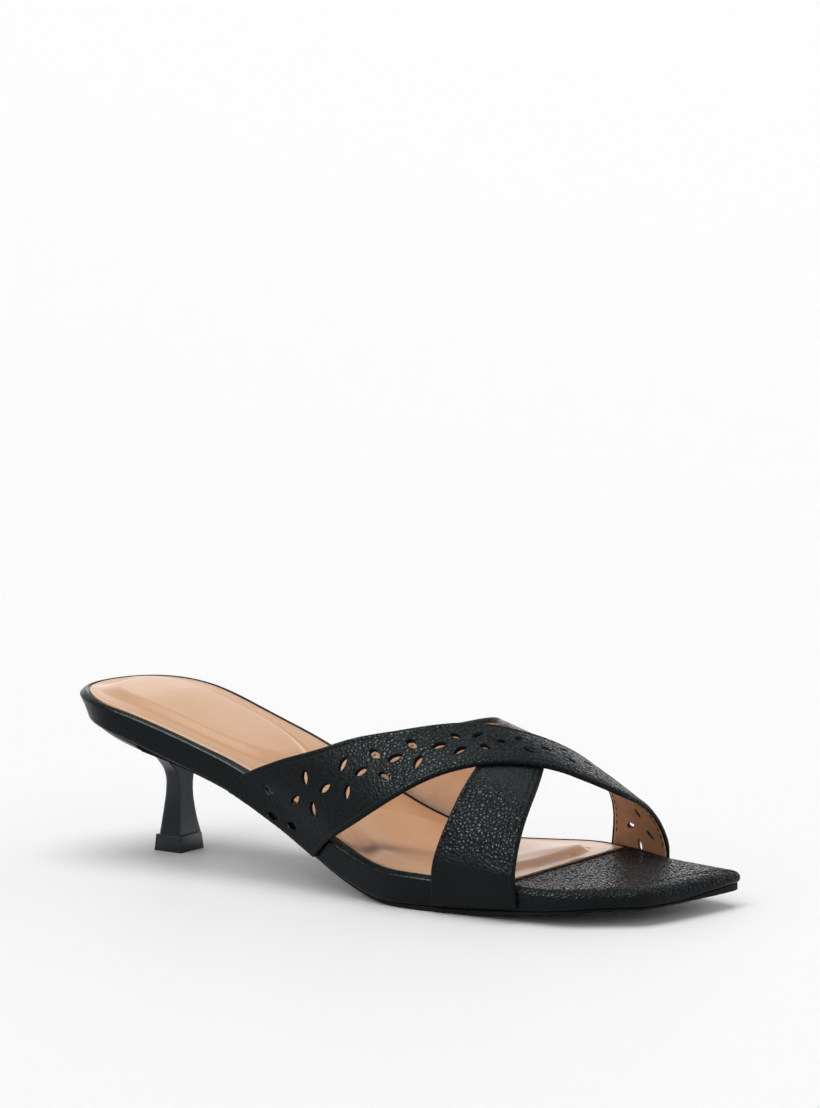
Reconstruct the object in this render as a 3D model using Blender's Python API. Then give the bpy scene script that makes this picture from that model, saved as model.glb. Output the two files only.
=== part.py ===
"""Heeled slide sandal, right shoe: two crossed straps on a wrapped footbed with a kitten heel.

Frame while building: X runs from the back of the heel seat to the toe, Y to the inner side of
the foot, Z up from the floor. At the end the root empty moves the shoe so that the middle of
its footprint is the origin.
"""
import math
from typing import NamedTuple

import bmesh
import bpy
import numpy as np

MM = 0.001

# Lengths and widths of the footbed
LENGTH = 242.0 * MM
SEAT_WIDTH = 55.0 * MM
WAIST_WIDTH = 51.5 * MM
BALL_WIDTH = 78.0 * MM
TOE_WIDTH = 43.0 * MM
SEAT_ROUNDING = 30.0 * MM      # length of the round back of the seat
SEAT_SQUARENESS = 2.1          # 2 makes the back of the seat elliptic, more makes it fuller
TOE_ROUNDING = 5.0 * MM        # length of the rounded toe corners
TOE_SQUARENESS = 4.0
TOE_SLANT = 8.0 * MM           # how far the outer toe corner lies behind the inner one
TOE_SLANT_REACH = 34.0 * MM    # length over which the slant fades in

# Heights
HEEL_RISE = 42.0 * MM          # back of the seat above the ball
TOE_SPRING = 5.2 * MM
SEAT_THICKNESS = 10.0 * MM
TOE_THICKNESS = 4.2 * MM
OUTSOLE_THICKNESS = 2.0 * MM
OUTSOLE_BEVEL = 0.5 * MM
OUTSOLE_SETBACK = 0.8 * MM     # edge of the outsole inside the edge of the footbed
WAIST_SETBACK = 3.0 * MM
WAIST_THINNING = 0.4           # share of its thickness that the outsole loses at the waist
INSOLE_EDGE = 0.8 * MM
INSOLE_SETBACK = 3.4 * MM
INSOLE_LENGTH = 187.0 * MM
CUSHION = 1.7 * MM             # padding of the insole over its rim
CUSHION_RIM = 6.0 * MM         # flat rim around the padding
WAIST_PADDING = 0.5            # share of the padding that is left at the waist
GAP = 0.3 * MM                 # glue line between pieces
POCKET_GAP = 0.25 * MM         # over and under the straps' lips in the footbed
STATION_GAP = 1.2 * MM         # nearest that an end comes to the next station

# Heel
HEEL_FRONT = 38.0 * MM         # breast of the heel, from the back of the seat
HEEL_SETBACK = 1.5 * MM
NECK_MIDDLE = 33.6 * MM        # middle of the neck and tip, from the back of the seat
NECK_LENGTH = 6.6 * MM
NECK_WIDTH = 6.9 * MM
TIP_LENGTH = 11.4 * MM
TIP_WIDTH = 12.2 * MM
TIP_HEIGHT = 5.5 * MM
TIP_BEVEL = 1.5 * MM
LEAN_START = 0.5               # share of the heel's height where its sections start to lean
LEAN_REACH = 0.4               # share over which they take the seat's slope

# Straps
STRAP = 1.8 * MM               # leather and lining together
INSTEP = 49.0 * MM             # height of the last over the footbed at the instep
LAST_FULLNESS = 1.85           # 2 makes the last's sections half ellipses, less makes them peaked
LIP = 7.0 * MM                 # tucked under the footbed
LIP_BEND = 0.6 * MM            # inner radius where the strap turns under
CROSSING_LIFT = 1.4 * MM       # the perforated strap rides over the plain one
LIFT_START = 0.02              # share around the last where it starts to rise, from each side
LIFT_REACH = 0.26              # share over which it rises
LEAF_LENGTH = 4.9 * MM
LEAF_WIDTH = 1.9 * MM
LEAF_POINTEDNESS = 0.3         # 0 makes the holes elliptic, 1 makes them lenses
UNROLLED = 40.0 * MM           # length that stands for a radian of the last in the flat pattern


class Breadth(NamedTuple):
    """Half breadths of the footbed at one station, as shares of a named width."""

    along: float
    outer: float
    inner: float
    of: float


BREADTHS = (
    Breadth(0.00, 0.475, 0.510, SEAT_WIDTH),
    Breadth(0.12, 0.510, 0.505, SEAT_WIDTH),
    Breadth(0.25, 0.515, 0.492, WAIST_WIDTH),
    Breadth(0.40, 0.525, 0.480, WAIST_WIDTH),
    Breadth(0.52, 0.630, 0.535, WAIST_WIDTH),
    Breadth(0.62, 0.473, 0.404, BALL_WIDTH),
    Breadth(0.72, 0.455, 0.538, BALL_WIDTH),
    Breadth(0.80, 0.444, 0.488, BALL_WIDTH),
    Breadth(0.90, 0.700, 0.720, TOE_WIDTH),
    Breadth(1.00, 0.420, 0.600, TOE_WIDTH),
)


class Rise(NamedTuple):
    """Underside of the footbed over the ball, as a share of a named height."""

    along: float
    share: float
    of: float


RISES = (
    Rise(0.00, 1.000, HEEL_RISE),
    Rise(0.10, 0.940, HEEL_RISE),
    Rise(0.20, 0.808, HEEL_RISE),
    Rise(0.30, 0.635, HEEL_RISE),
    Rise(0.40, 0.385, HEEL_RISE),
    Rise(0.50, 0.135, HEEL_RISE),
    Rise(0.58, 0.012, HEEL_RISE),
    Rise(0.66, -0.003, HEEL_RISE),
    Rise(0.74, 0.100, TOE_SPRING),
    Rise(0.82, 0.440, TOE_SPRING),
    Rise(0.90, 0.860, TOE_SPRING),
    Rise(1.00, 1.000, TOE_SPRING),
)


class Board(NamedTuple):
    """Thickness of the footbed and setback of the outsole's edge at one station."""

    along: float
    toe_to_seat: float
    ball_to_waist: float


BOARDS = (
    Board(0.00, 0.87, 0.8),
    Board(0.12, 1.20, 0.9),
    Board(0.25, 1.13, 1.0),
    Board(0.45, 1.03, 1.0),
    Board(0.58, 0.87, 0.4),
    Board(0.68, 0.74, 0.0),
    Board(0.75, 0.61, 0.0),
    Board(0.82, 0.38, 0.0),
    Board(0.90, 0.09, 0.0),
    Board(1.00, 0.00, 0.0),
)


class Instep(NamedTuple):
    """Height of the last over the footbed at one station."""

    along: float
    height: float


INSTEPS = (
    Instep(0.29, 0.94),
    Instep(0.41, 0.95),
    Instep(0.54, 1.00),
    Instep(0.66, 0.89),
    Instep(0.785, 0.615),
    Instep(0.89, 0.29),
)


class StrapEdges(NamedTuple):
    """Rear and front edge of a strap, as shares of the length, around the last.

    Around is 0 where the last leaves the footbed on the outer side and 1 on the inner side.
    """

    around: float
    rear: float
    front: float


PERFORATED = (
    StrapEdges(-0.08, 0.318, 0.470),
    StrapEdges(0.00, 0.350, 0.503),
    StrapEdges(0.10, 0.412, 0.566),
    StrapEdges(0.20, 0.492, 0.636),
    StrapEdges(0.40, 0.650, 0.757),
    StrapEdges(0.60, 0.735, 0.837),
    StrapEdges(0.80, 0.756, 0.847),
    StrapEdges(1.00, 0.740, 0.853),
    StrapEdges(1.08, 0.738, 0.854),
)

PLAIN = (
    StrapEdges(-0.08, 0.685, 0.815),
    StrapEdges(0.00, 0.685, 0.813),
    StrapEdges(0.20, 0.701, 0.803),
    StrapEdges(0.40, 0.700, 0.780),
    StrapEdges(0.60, 0.648, 0.729),
    StrapEdges(0.80, 0.529, 0.650),
    StrapEdges(1.00, 0.392, 0.542),
    StrapEdges(1.08, 0.383, 0.533),
)


class Leaf(NamedTuple):
    """One leaf-shaped hole: place around the last, across the strap, and turn in degrees."""

    around: float
    across: float
    turn: float


LEAVES = (
    Leaf(-0.045, 0.50, 60),
    Leaf(-0.030, 0.72, 60),
    Leaf(0.018, 0.27, 55),
    Leaf(0.034, 0.48, -17),
    Leaf(0.050, 0.64, -83),
    Leaf(0.101, 0.29, -85),
    Leaf(0.111, 0.49, -9),
    Leaf(0.132, 0.65, -65),
    Leaf(0.178, 0.31, -48),
    Leaf(0.187, 0.49, -5),
    Leaf(0.201, 0.69, 57),
    Leaf(0.235, 0.33, 48),
    Leaf(0.247, 0.50, 0),
    Leaf(0.259, 0.70, -51),
    Leaf(0.293, 0.35, 55),
    Leaf(0.315, 0.52, -3),
    Leaf(0.327, 0.69, -28),
    Leaf(0.359, 0.36, 36),
    Leaf(0.372, 0.66, 32),
    Leaf(0.393, 0.37, -35),
    Leaf(0.418, 0.52, 0),
    Leaf(0.450, 0.67, 20),
    Leaf(0.471, 0.36, -30),
    Leaf(0.516, 0.46, 4),
    Leaf(0.554, 0.60, 25),
    Leaf(0.582, 0.27, -30),
    Leaf(0.623, 0.43, 0),
    Leaf(0.675, 0.57, 22),
    Leaf(0.705, 0.25, 60),
    Leaf(0.775, 0.32, -60),
    Leaf(0.845, 0.55, 14),
    Leaf(0.915, 0.34, -60),
    Leaf(0.925, 0.70, 55),
    Leaf(0.985, 0.50, 20),
)


class HeelSection(NamedTuple):
    """Section of the heel: height and form between the tip and the seat.

    Height is a share of the heel's height over its tip. Back and front are distances from the
    neck's middle as shares of the neck's length, and width is a share of the neck's width.
    Square is high for a block and low for a section that narrows backwards. Seat says how far
    the section has taken the seat's own outline.
    """

    height: float
    back: float
    front: float
    width: float
    square: float
    seat: float


HEEL_SECTIONS = (
    HeelSection(0.000, 0.76, 0.74, 1.62, 6.0, 0.0),
    HeelSection(0.120, 0.69, 0.65, 1.37, 6.0, 0.0),
    HeelSection(0.260, 0.60, 0.58, 1.14, 6.0, 0.0),
    HeelSection(0.420, 0.49, 0.54, 1.00, 6.0, 0.0),
    HeelSection(0.560, 0.45, 0.53, 1.15, 5.0, 0.0),
    HeelSection(0.640, 0.50, 0.52, 1.43, 5.0, 0.0),
    HeelSection(0.710, 0.54, 0.52, 2.05, 5.0, 0.0),
    HeelSection(0.785, 0.60, 0.52, 2.90, 5.0, 0.0),
    HeelSection(0.870, 0.80, 0.53, 4.40, 4.0, 0.0),
    HeelSection(0.930, 1.10, 0.57, 5.60, 3.5, 0.1),
    HeelSection(0.982, 2.60, 0.62, 6.60, 3.0, 1.0),
    HeelSection(1.000, 2.60, 0.62, 6.60, 3.0, 1.0),
)


class WallPoint(NamedTuple):
    """Point of the footbed's rounded wall: inset, and height from its bottom or its top."""

    inset: float
    height: float
    from_top: bool


WALL = (
    WallPoint(1.3 * MM, 0.0 * MM, False),
    WallPoint(0.4 * MM, 0.5 * MM, False),
    WallPoint(0.0 * MM, 1.4 * MM, False),
    WallPoint(0.0 * MM, -2.5 * MM, True),
    WallPoint(0.3 * MM, -1.4 * MM, True),
    WallPoint(1.0 * MM, -0.5 * MM, True),
    WallPoint(2.3 * MM, 0.0 * MM, True),
)


class PaddingPoint(NamedTuple):
    """Point of the insole's section: inset, and shares of the edge's and the padding's height."""

    inset: float
    edge: float
    padding: float


PADDING = (
    PaddingPoint(0.0 * MM, 0.0, 0.00),
    PaddingPoint(0.0 * MM, 0.7, 0.00),
    PaddingPoint(0.5 * MM, 1.0, 0.00),
    PaddingPoint(CUSHION_RIM, 1.0, 0.00),
    PaddingPoint(CUSHION_RIM + 1.6 * MM, 1.0, 0.55),
    PaddingPoint(CUSHION_RIM + 6.0 * MM, 1.0, 1.00),
)

OUTER, INNER = -1, 1           # sides of the foot, as signs of Y


def curve(rows, values):
    """Return a smooth function through values at the rows' first column, straight past the ends."""
    knots = np.array([row[0] for row in rows])
    values = np.array(values)
    steps = np.diff(knots)
    slopes = np.diff(values) / steps
    tangents = np.empty_like(values)
    tangents[0] = slopes[0]
    tangents[-1] = slopes[-1]
    tangents[1:-1] = (slopes[:-1] * steps[1:] + slopes[1:] * steps[:-1]) / (steps[1:] + steps[:-1])

    def at(place):
        place = np.asarray(place, float)
        inside = np.clip(place, knots[0], knots[-1])
        row = np.clip(np.searchsorted(knots, inside, side="right") - 1, 0, len(steps) - 1)
        step = steps[row]
        part = (inside - knots[row]) / step
        rest = 1 - part
        smooth = (values[row] * (1 + 2 * part) * rest ** 2
                  + values[row + 1] * part ** 2 * (1 + 2 * rest)
                  + step * tangents[row] * part * rest ** 2
                  - step * tangents[row + 1] * part ** 2 * rest)
        beyond = np.where(place < knots[0], tangents[0], tangents[-1])
        return smooth + beyond * (place - inside)

    return at


outer_breadth = curve(BREADTHS, [row.outer * row.of for row in BREADTHS])
inner_breadth = curve(BREADTHS, [row.inner * row.of for row in BREADTHS])
rise = curve(RISES, [row.share * row.of for row in RISES])
thickening = curve(BOARDS, [row.toe_to_seat for row in BOARDS])
waisting = curve(BOARDS, [row.ball_to_waist for row in BOARDS])
instep = curve(INSTEPS, [row.height * INSTEP for row in INSTEPS])


def footbed_bottom(x):
    """Height of the footbed's underside, which the outsole carries at the ball."""
    return OUTSOLE_THICKNESS + GAP + rise(x / LENGTH)


def footbed_thickness(x):
    """Thickness of the wrapped board."""
    return TOE_THICKNESS + (SEAT_THICKNESS - TOE_THICKNESS) * thickening(x / LENGTH)


def footbed_top(x):
    """Height of the footbed's upper face."""
    return footbed_bottom(x) + footbed_thickness(x)


def half_breadth(x, side):
    """Half breadth of the footbed on one side, rounded at the back and at the toe corners."""
    x = np.asarray(x, float)
    breadth = np.where(side < 0, outer_breadth(x / LENGTH), inner_breadth(x / LENGTH))
    back = np.clip(1 - x / SEAT_ROUNDING, 0, 1)
    toe = np.clip(1 - (LENGTH - x) / TOE_ROUNDING, 0, 1)
    round_back = (1 - back ** SEAT_SQUARENESS) ** (1 / SEAT_SQUARENESS)
    round_toe = (1 - toe ** TOE_SQUARENESS) ** (1 / TOE_SQUARENESS)
    return breadth * round_back * round_toe


def slanted(x, y):
    """Move a point of the plan back where the toe slants from the inner to the outer side."""
    fade = np.clip((x - LENGTH + TOE_SLANT_REACH) / TOE_SLANT_REACH, 0, 1)
    inner = TOE_WIDTH * BREADTHS[-1].inner
    share = (inner - y) / TOE_WIDTH
    return x - TOE_SLANT * share * fade ** 2 * (3 - 2 * fade)


def stations(first, last, count=22, round_steps=6):
    """Places along the foot, close together where the outline is round."""
    turns = np.linspace(0, math.pi / 2, round_steps + 1)
    back = SEAT_ROUNDING * (1 - np.cos(turns))
    toe = LENGTH - TOE_ROUNDING * (1 - np.sin(turns))
    middle = np.linspace(back[-1], toe[0], count + 1)[1:-1]
    places = np.concatenate([back, middle, toe])
    inside = places[(places > first + STATION_GAP) & (places < last - STATION_GAP)]
    return np.concatenate([[first], inside, [last]])


def outline(first, last):
    """Closed outline of the footbed between two places: outer side forward, inner side back.

    Returns the points and, for each station, the indices of its outer and inner point.
    """
    places = stations(first, last)
    points = [(x, OUTER * float(half_breadth(x, OUTER))) for x in places]
    pairs = [(index, index) for index in range(len(places))]
    for index in reversed(range(len(places))):
        inner = INNER * float(half_breadth(places[index], INNER))
        if not math.isclose(inner, points[index][1], abs_tol=1e-6):
            pairs[index] = (index, len(points))
            points.append((places[index], inner))
    points = np.array(points)
    points[:, 0] = slanted(points[:, 0], points[:, 1])
    return points, pairs


def inset(points, amounts):
    """Move a closed outline inwards by an amount, mitred at its corners."""
    before = points - np.roll(points, 1, axis=0)
    after = np.roll(points, -1, axis=0) - points
    before /= np.linalg.norm(before, axis=1, keepdims=True)
    after /= np.linalg.norm(after, axis=1, keepdims=True)
    left_before = np.stack([-before[:, 1], before[:, 0]], axis=1)
    left_after = np.stack([-after[:, 1], after[:, 0]], axis=1)
    corner = np.maximum(1 + (left_before * left_after).sum(axis=1, keepdims=True), 0.5)
    mitre = (left_before + left_after) / corner
    return points + mitre * np.broadcast_to(np.asarray(amounts, float), len(points))[:, None]


def new_object(name, mesh, collection):
    """Put a mesh in a collection as an object on the root empty."""
    item = bpy.data.objects.new(name, mesh)
    collection.objects.link(item)
    item.parent = root
    return item


def layered_solid(name, rings, pairs, collection):
    """Loft rings of one outline into a closed solid with station-wise end faces.

    The first ring is the lowest. Rings are arrays of 3-D points in the outline's order.
    """
    form = bmesh.new()
    layers = [[form.verts.new(point) for point in ring] for ring in rings]
    count = len(rings[0])
    for lower, upper in zip(layers, layers[1:]):
        for index in range(count):
            following = (index + 1) % count
            form.faces.new((lower[index], lower[following], upper[following], upper[index]))
    for (outer_a, inner_a), (outer_b, inner_b) in zip(pairs, pairs[1:]):
        quad = (outer_a, outer_b, inner_b, inner_a)
        corners = list(dict.fromkeys(quad))
        form.faces.new([layers[-1][index] for index in corners])
        form.faces.new([layers[0][index] for index in reversed(corners)])
    bmesh.ops.recalc_face_normals(form, faces=form.faces)
    mesh = bpy.data.meshes.new(name)
    form.to_mesh(mesh)
    form.free()
    return new_object(name, mesh, collection)


def lift(points, heights):
    """Give a plan outline its heights."""
    return np.column_stack([points, heights])


def make_footbed():
    """The wrapped board: a rounded wall around the whole outline, bent to the last."""
    points, pairs = outline(0.0, LENGTH)
    rings = []
    for place in WALL:
        ring = inset(points, place.inset)
        base = footbed_top(ring[:, 0]) if place.from_top else footbed_bottom(ring[:, 0])
        rings.append(lift(ring, base + place.height))
    return layered_solid("footbed", rings, pairs, parts)


def make_outsole():
    """The outsole from the heel's breast to the toe, flat on the floor under the ball."""
    points, pairs = outline(HEEL_FRONT + GAP, LENGTH)
    waist = np.clip(waisting(points[:, 0] / LENGTH), 0, 1)
    edge = inset(points, OUTSOLE_SETBACK + (WAIST_SETBACK - OUTSOLE_SETBACK) * waist)
    edge[list(pairs[0]), 0] = HEEL_FRONT + GAP
    tread = inset(edge, OUTSOLE_BEVEL)
    thickness = OUTSOLE_THICKNESS * (1 - WAIST_THINNING * waist)

    def upper_face(ring):
        return footbed_bottom(ring[:, 0]) - GAP

    def floor_face(ring):
        return np.maximum(upper_face(ring) - thickness, 0.0)

    rings = [
        lift(tread, floor_face(tread)),
        lift(edge, floor_face(edge) + OUTSOLE_BEVEL),
        lift(edge, upper_face(edge) - OUTSOLE_BEVEL / 2),
        lift(tread, upper_face(tread)),
    ]
    return layered_solid("outsole", rings, pairs, parts)


def make_insole():
    """The sock with its flat rim and its padding, which ends straight behind the toes."""
    points, pairs = outline(0.0, INSOLE_LENGTH + INSOLE_SETBACK)
    rings = []
    for place in PADDING:
        ring = inset(points, INSOLE_SETBACK + place.inset)
        waist = (1 - np.cos(2 * math.pi * ring[:, 0] / INSOLE_LENGTH)) / 2
        padding = CUSHION * (1 - (1 - WAIST_PADDING) * waist)
        height = place.edge * INSOLE_EDGE + place.padding * padding
        rings.append(lift(ring, footbed_top(ring[:, 0]) + GAP + height))
    return layered_solid("insole", rings, pairs, parts)


def heel_ring(row, turns):
    """One section of the heel, blended from a waisted block to the seat's outline."""
    depth = 1 - np.cos(turns)
    back = NECK_MIDDLE - row.back * NECK_LENGTH
    front = NECK_MIDDLE + row.front * NECK_LENGTH
    seat_x = HEEL_SETBACK + (HEEL_FRONT - HEEL_SETBACK) * depth
    taken = min(max(row.seat, 0.0), 1.0)
    x = back + (front - back) * depth
    x = x + (seat_x - x) * taken
    block = row.width * NECK_WIDTH / 2 * (1 - (1 - depth) ** row.square) ** (1 / row.square)
    sides = []
    for side in (OUTER, INNER):
        seat = np.maximum(half_breadth(seat_x - HEEL_SETBACK, side) - HEEL_SETBACK, 0) * (depth > 0)
        sides.append(np.column_stack([x, side * (block + (seat - block) * taken)]))
    points = np.concatenate([sides[0], sides[1][:0:-1]])
    level = TIP_HEIGHT + GAP
    full = footbed_bottom(NECK_MIDDLE) - GAP - level
    flat = level + full * row.height
    sloped = footbed_bottom(points[:, 0]) - GAP - full * (1 - row.height)
    leaning = min(max((row.height - LEAN_START) / LEAN_REACH, 0.0), 1.0)
    return lift(points, flat + (sloped - flat) * leaning)


def make_heel(between=2):
    """The waisted heel that spreads into the seat, with a flat breast."""
    turns = np.linspace(0, math.pi / 2, 11)
    count = len(turns)
    pairs = [(0, 0)] + [(index, 2 * count - 1 - index) for index in range(1, count)]
    columns = [curve(HEEL_SECTIONS, [row[column] for row in HEEL_SECTIONS]) for column in range(1, 6)]
    knots = [row.height for row in HEEL_SECTIONS]
    steps = np.arange(between * (len(knots) - 1) + 1) / between
    heights = np.interp(steps, np.arange(len(knots)), knots)
    rings = []
    for height in heights:
        row = HeelSection(height, *(float(column(height)) for column in columns))
        rings.append(heel_ring(row, turns))
    return layered_solid("heel", rings, pairs, parts)


def make_heel_tip():
    """The top piece: a block that widens to the floor, with softened edges."""
    bpy.ops.mesh.primitive_cube_add(size=1.0)
    tip = bpy.context.active_object
    tip.name = "heel_tip"
    form = bmesh.new()
    form.from_mesh(tip.data)
    foot = HEEL_SECTIONS[0]
    top_length = (foot.front + foot.back) * NECK_LENGTH - GAP
    top_width = foot.width * NECK_WIDTH - GAP
    for vert in form.verts:
        up = vert.co.z > 0
        vert.co.x = NECK_MIDDLE + vert.co.x * (top_length if up else TIP_LENGTH)
        vert.co.y *= top_width if up else TIP_WIDTH
        vert.co.z = TIP_HEIGHT if up else 0.0
    upright = [edge for edge in form.edges
               if abs(edge.verts[0].co.z - edge.verts[1].co.z) > TIP_HEIGHT / 2]
    bmesh.ops.bevel(form, geom=upright, offset=TIP_BEVEL, segments=3, affect="EDGES", profile=0.5)
    form.to_mesh(tip.data)
    form.free()
    move_to(tip, parts)
    return tip


def move_to(item, collection):
    """Put an object that an operator made in a collection, on the root empty."""
    for holder in list(item.users_collection):
        holder.objects.unlink(item)
    collection.objects.link(item)
    item.parent = root


# A strap's path in its flat pattern: lip, bend, wall, last, wall, bend and lip
BEND_LENGTH = math.pi / 2 * (LIP_BEND + STRAP / 2)
WALL_LENGTH = SEAT_THICKNESS - STRAP - LIP_BEND
LAST_START = LIP + BEND_LENGTH + WALL_LENGTH
LAST_LENGTH = math.pi * UNROLLED
PATH_LENGTH = 2 * LAST_START + LAST_LENGTH


def around_of(path):
    """Share around the last of a place on the strap's path."""
    return (np.asarray(path, float) - LAST_START) / LAST_LENGTH


def crossing_lift(around):
    """How far the perforated strap stands off the last, full over the crossing."""
    from_side = np.minimum(around, 1 - around)
    share = np.clip((from_side - LIFT_START) / LIFT_REACH, 0, 1)
    return CROSSING_LIFT * share ** 2 * (3 - 2 * share)


def lasted(x, path, out, lifted):
    """Place points of the flat pattern on the last.

    Args:
        x: places along the foot.
        path: places along the strap's path, from the outer lip to the inner one.
        out: distance from the strap's inner face.
        lifted: whether the strap rides over the other one.
    """
    x, path, out = (np.asarray(values, float) for values in (x, path, out))
    side = np.where(path < PATH_LENGTH / 2, OUTER, INNER)
    walk = np.minimum(path, PATH_LENGTH - path)
    bottom = footbed_bottom(x)
    top = footbed_top(x)
    hinge_out = GAP - LIP_BEND
    hinge_up = bottom + STRAP + LIP_BEND
    turn = np.clip((walk - LIP) / BEND_LENGTH, 0, 1) * math.pi / 2
    under = np.maximum(LIP - walk, 0)
    climb = np.clip((walk - LIP - BEND_LENGTH) / WALL_LENGTH, 0, 1)
    wall_y = hinge_out - under + (LIP_BEND + out) * np.sin(turn)
    wall_z = hinge_up - (LIP_BEND + out) * np.cos(turn) + climb * (top - hinge_up)
    angle = np.clip(around_of(path), 0, 1) * math.pi
    stand = out + (crossing_lift(angle / math.pi) if lifted else 0.0)
    power = 2 / LAST_FULLNESS
    across = np.abs(np.cos(angle)) ** power
    height = np.maximum(np.sin(angle), 0) ** power
    on_last = walk > LAST_START
    half = half_breadth(x, side)
    y = np.where(on_last, side * (half + GAP + stand) * across, side * (half + wall_y))
    z = np.where(on_last, top + (instep(x / LENGTH) + stand) * height, wall_z)
    return np.stack([x, y, z], axis=-1)


def strap_edges(rows):
    """Functions for a strap's rear and front edge, by place on its path."""
    rear = curve(rows, [row.rear * LENGTH for row in rows])
    front = curve(rows, [row.front * LENGTH for row in rows])
    low, high = rows[0].around, rows[-1].around

    def at(path, share):
        around = np.clip(around_of(path), low, high)
        return rear(around) + (front(around) - rear(around)) * share

    return at


def path_steps(last_steps=34):
    """Rows of the flat pattern along the strap's path."""
    lip = np.linspace(0, LIP, 3)
    bend = LIP + np.linspace(0, BEND_LENGTH, 4)[1:]
    wall = LIP + BEND_LENGTH + np.linspace(0, WALL_LENGTH, 3)[1:]
    last = LAST_START + np.linspace(0, LAST_LENGTH / 2, last_steps // 2 + 1)[1:]
    half = np.concatenate([lip, bend, wall, last])
    return np.concatenate([half, PATH_LENGTH - half[-2::-1]])


def flat_slab(name, paths, x_at, low, high, across=6):
    """A flat slab of the pattern between two distances from the inner face."""
    form = bmesh.new()
    layers = []
    for out in (low, high):
        rows = []
        for path in paths:
            shares = np.linspace(0, 1, across + 1)
            rows.append([form.verts.new((float(x_at(path, share)), path, out)) for share in shares])
        layers.append(rows)
    for lower, upper, flip in ((layers[0], layers[0], True), (layers[1], layers[1], False)):
        for row_a, row_b in zip(lower, upper[1:]):
            for index in range(across):
                quad = [row_a[index], row_a[index + 1], row_b[index + 1], row_b[index]]
                form.faces.new(quad[::-1] if flip else quad)
    for first, second in zip(range(len(paths)), range(1, len(paths))):
        for column, flip in ((0, True), (across, False)):
            quad = [layers[0][first][column], layers[0][second][column],
                    layers[1][second][column], layers[1][first][column]]
            form.faces.new(quad[::-1] if flip else quad)
    for row in (0, len(paths) - 1):
        for index in range(across):
            form.faces.new([layers[0][row][index], layers[0][row][index + 1],
                            layers[1][row][index + 1], layers[1][row][index]])
    bmesh.ops.recalc_face_normals(form, faces=form.faces)
    mesh = bpy.data.meshes.new(name)
    form.to_mesh(mesh)
    form.free()
    return mesh


def leaf_prism(form, leaf, x_at):
    """Add a leaf-shaped prism to the punch, true to size where it lies on the last."""
    path = LAST_START + leaf.around * LAST_LENGTH
    x = float(x_at(path, leaf.across))
    nudge = 0.2 * MM

    def spot(x_here, path_here):
        return lasted(x_here, path_here, STRAP / 2, True)

    per_x = (spot(x + nudge, path) - spot(x - nudge, path)) / (2 * nudge)
    per_path = (spot(x, path + nudge) - spot(x, path - nudge)) / (2 * nudge)
    ahead = spot(x_at(path + nudge, leaf.across), path + nudge) - spot(x, path)
    ahead /= np.linalg.norm(ahead)
    over = per_x - ahead * (per_x @ ahead)
    over /= np.linalg.norm(over)
    turn = math.radians(leaf.turn)
    grain = ahead * math.cos(turn) + over * math.sin(turn)
    cross = over * math.cos(turn) - ahead * math.sin(turn)
    basis = np.column_stack([per_x, per_path])
    rim = []
    for share in np.linspace(0, 1, 9)[:-1]:
        angle = 2 * math.pi * share
        along = LEAF_LENGTH / 2 * math.cos(angle)
        aside = LEAF_WIDTH / 2 * math.sin(angle) * abs(math.sin(angle)) ** LEAF_POINTEDNESS
        move = np.linalg.lstsq(basis, grain * along + cross * aside, rcond=None)[0]
        rim.append((x + move[0], path + move[1]))
    low = [form.verts.new((a, b, -STRAP)) for a, b in rim]
    high = [form.verts.new((a, b, 2 * STRAP)) for a, b in rim]
    form.faces.new(low)
    form.faces.new(high)
    for index in range(len(rim)):
        following = (index + 1) % len(rim)
        form.faces.new((low[index], low[following], high[following], high[index]))


def evaluated_mesh(item):
    """The mesh of an object with its modifiers."""
    graph = bpy.context.evaluated_depsgraph_get()
    return bpy.data.meshes.new_from_object(item.evaluated_get(graph))


def last_mesh(mesh, lifted):
    """Split a flat mesh into triangles and pull it over the last."""
    form = bmesh.new()
    form.from_mesh(mesh)
    bmesh.ops.triangulate(form, faces=form.faces)
    for vert in form.verts:
        vert.co = lasted(vert.co.x, vert.co.y, vert.co.z, lifted)
    bmesh.ops.recalc_face_normals(form, faces=form.faces)
    form.to_mesh(mesh)
    form.free()
    return mesh


def make_upper():
    """Both straps, punched flat, pulled over the last and joined where they cross."""
    paths = path_steps()
    perforated_x = strap_edges(PERFORATED)
    plain_x = strap_edges(PLAIN)
    punch_form = bmesh.new()
    for leaf in LEAVES:
        leaf_prism(punch_form, leaf, perforated_x)
    bmesh.ops.recalc_face_normals(punch_form, faces=punch_form.faces)
    punch_mesh = bpy.data.meshes.new("leaf_punch")
    punch_form.to_mesh(punch_mesh)
    punch_form.free()
    punch = as_cutter(new_object("leaf_punch", punch_mesh, cutters))
    blank_mesh = flat_slab("strap_blank", paths, perforated_x, 0, STRAP)
    blank = as_cutter(new_object("strap_blank", blank_mesh, cutters))
    boolean(blank, punch, "DIFFERENCE")
    over = last_mesh(evaluated_mesh(blank), True)
    over_strap = as_cutter(new_object("perforated_strap", over, cutters))
    plain = last_mesh(flat_slab("upper", paths, plain_x, 0, STRAP), False)
    upper = new_object("upper", plain, parts)
    boolean(upper, over_strap, "UNION")
    return upper


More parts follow.
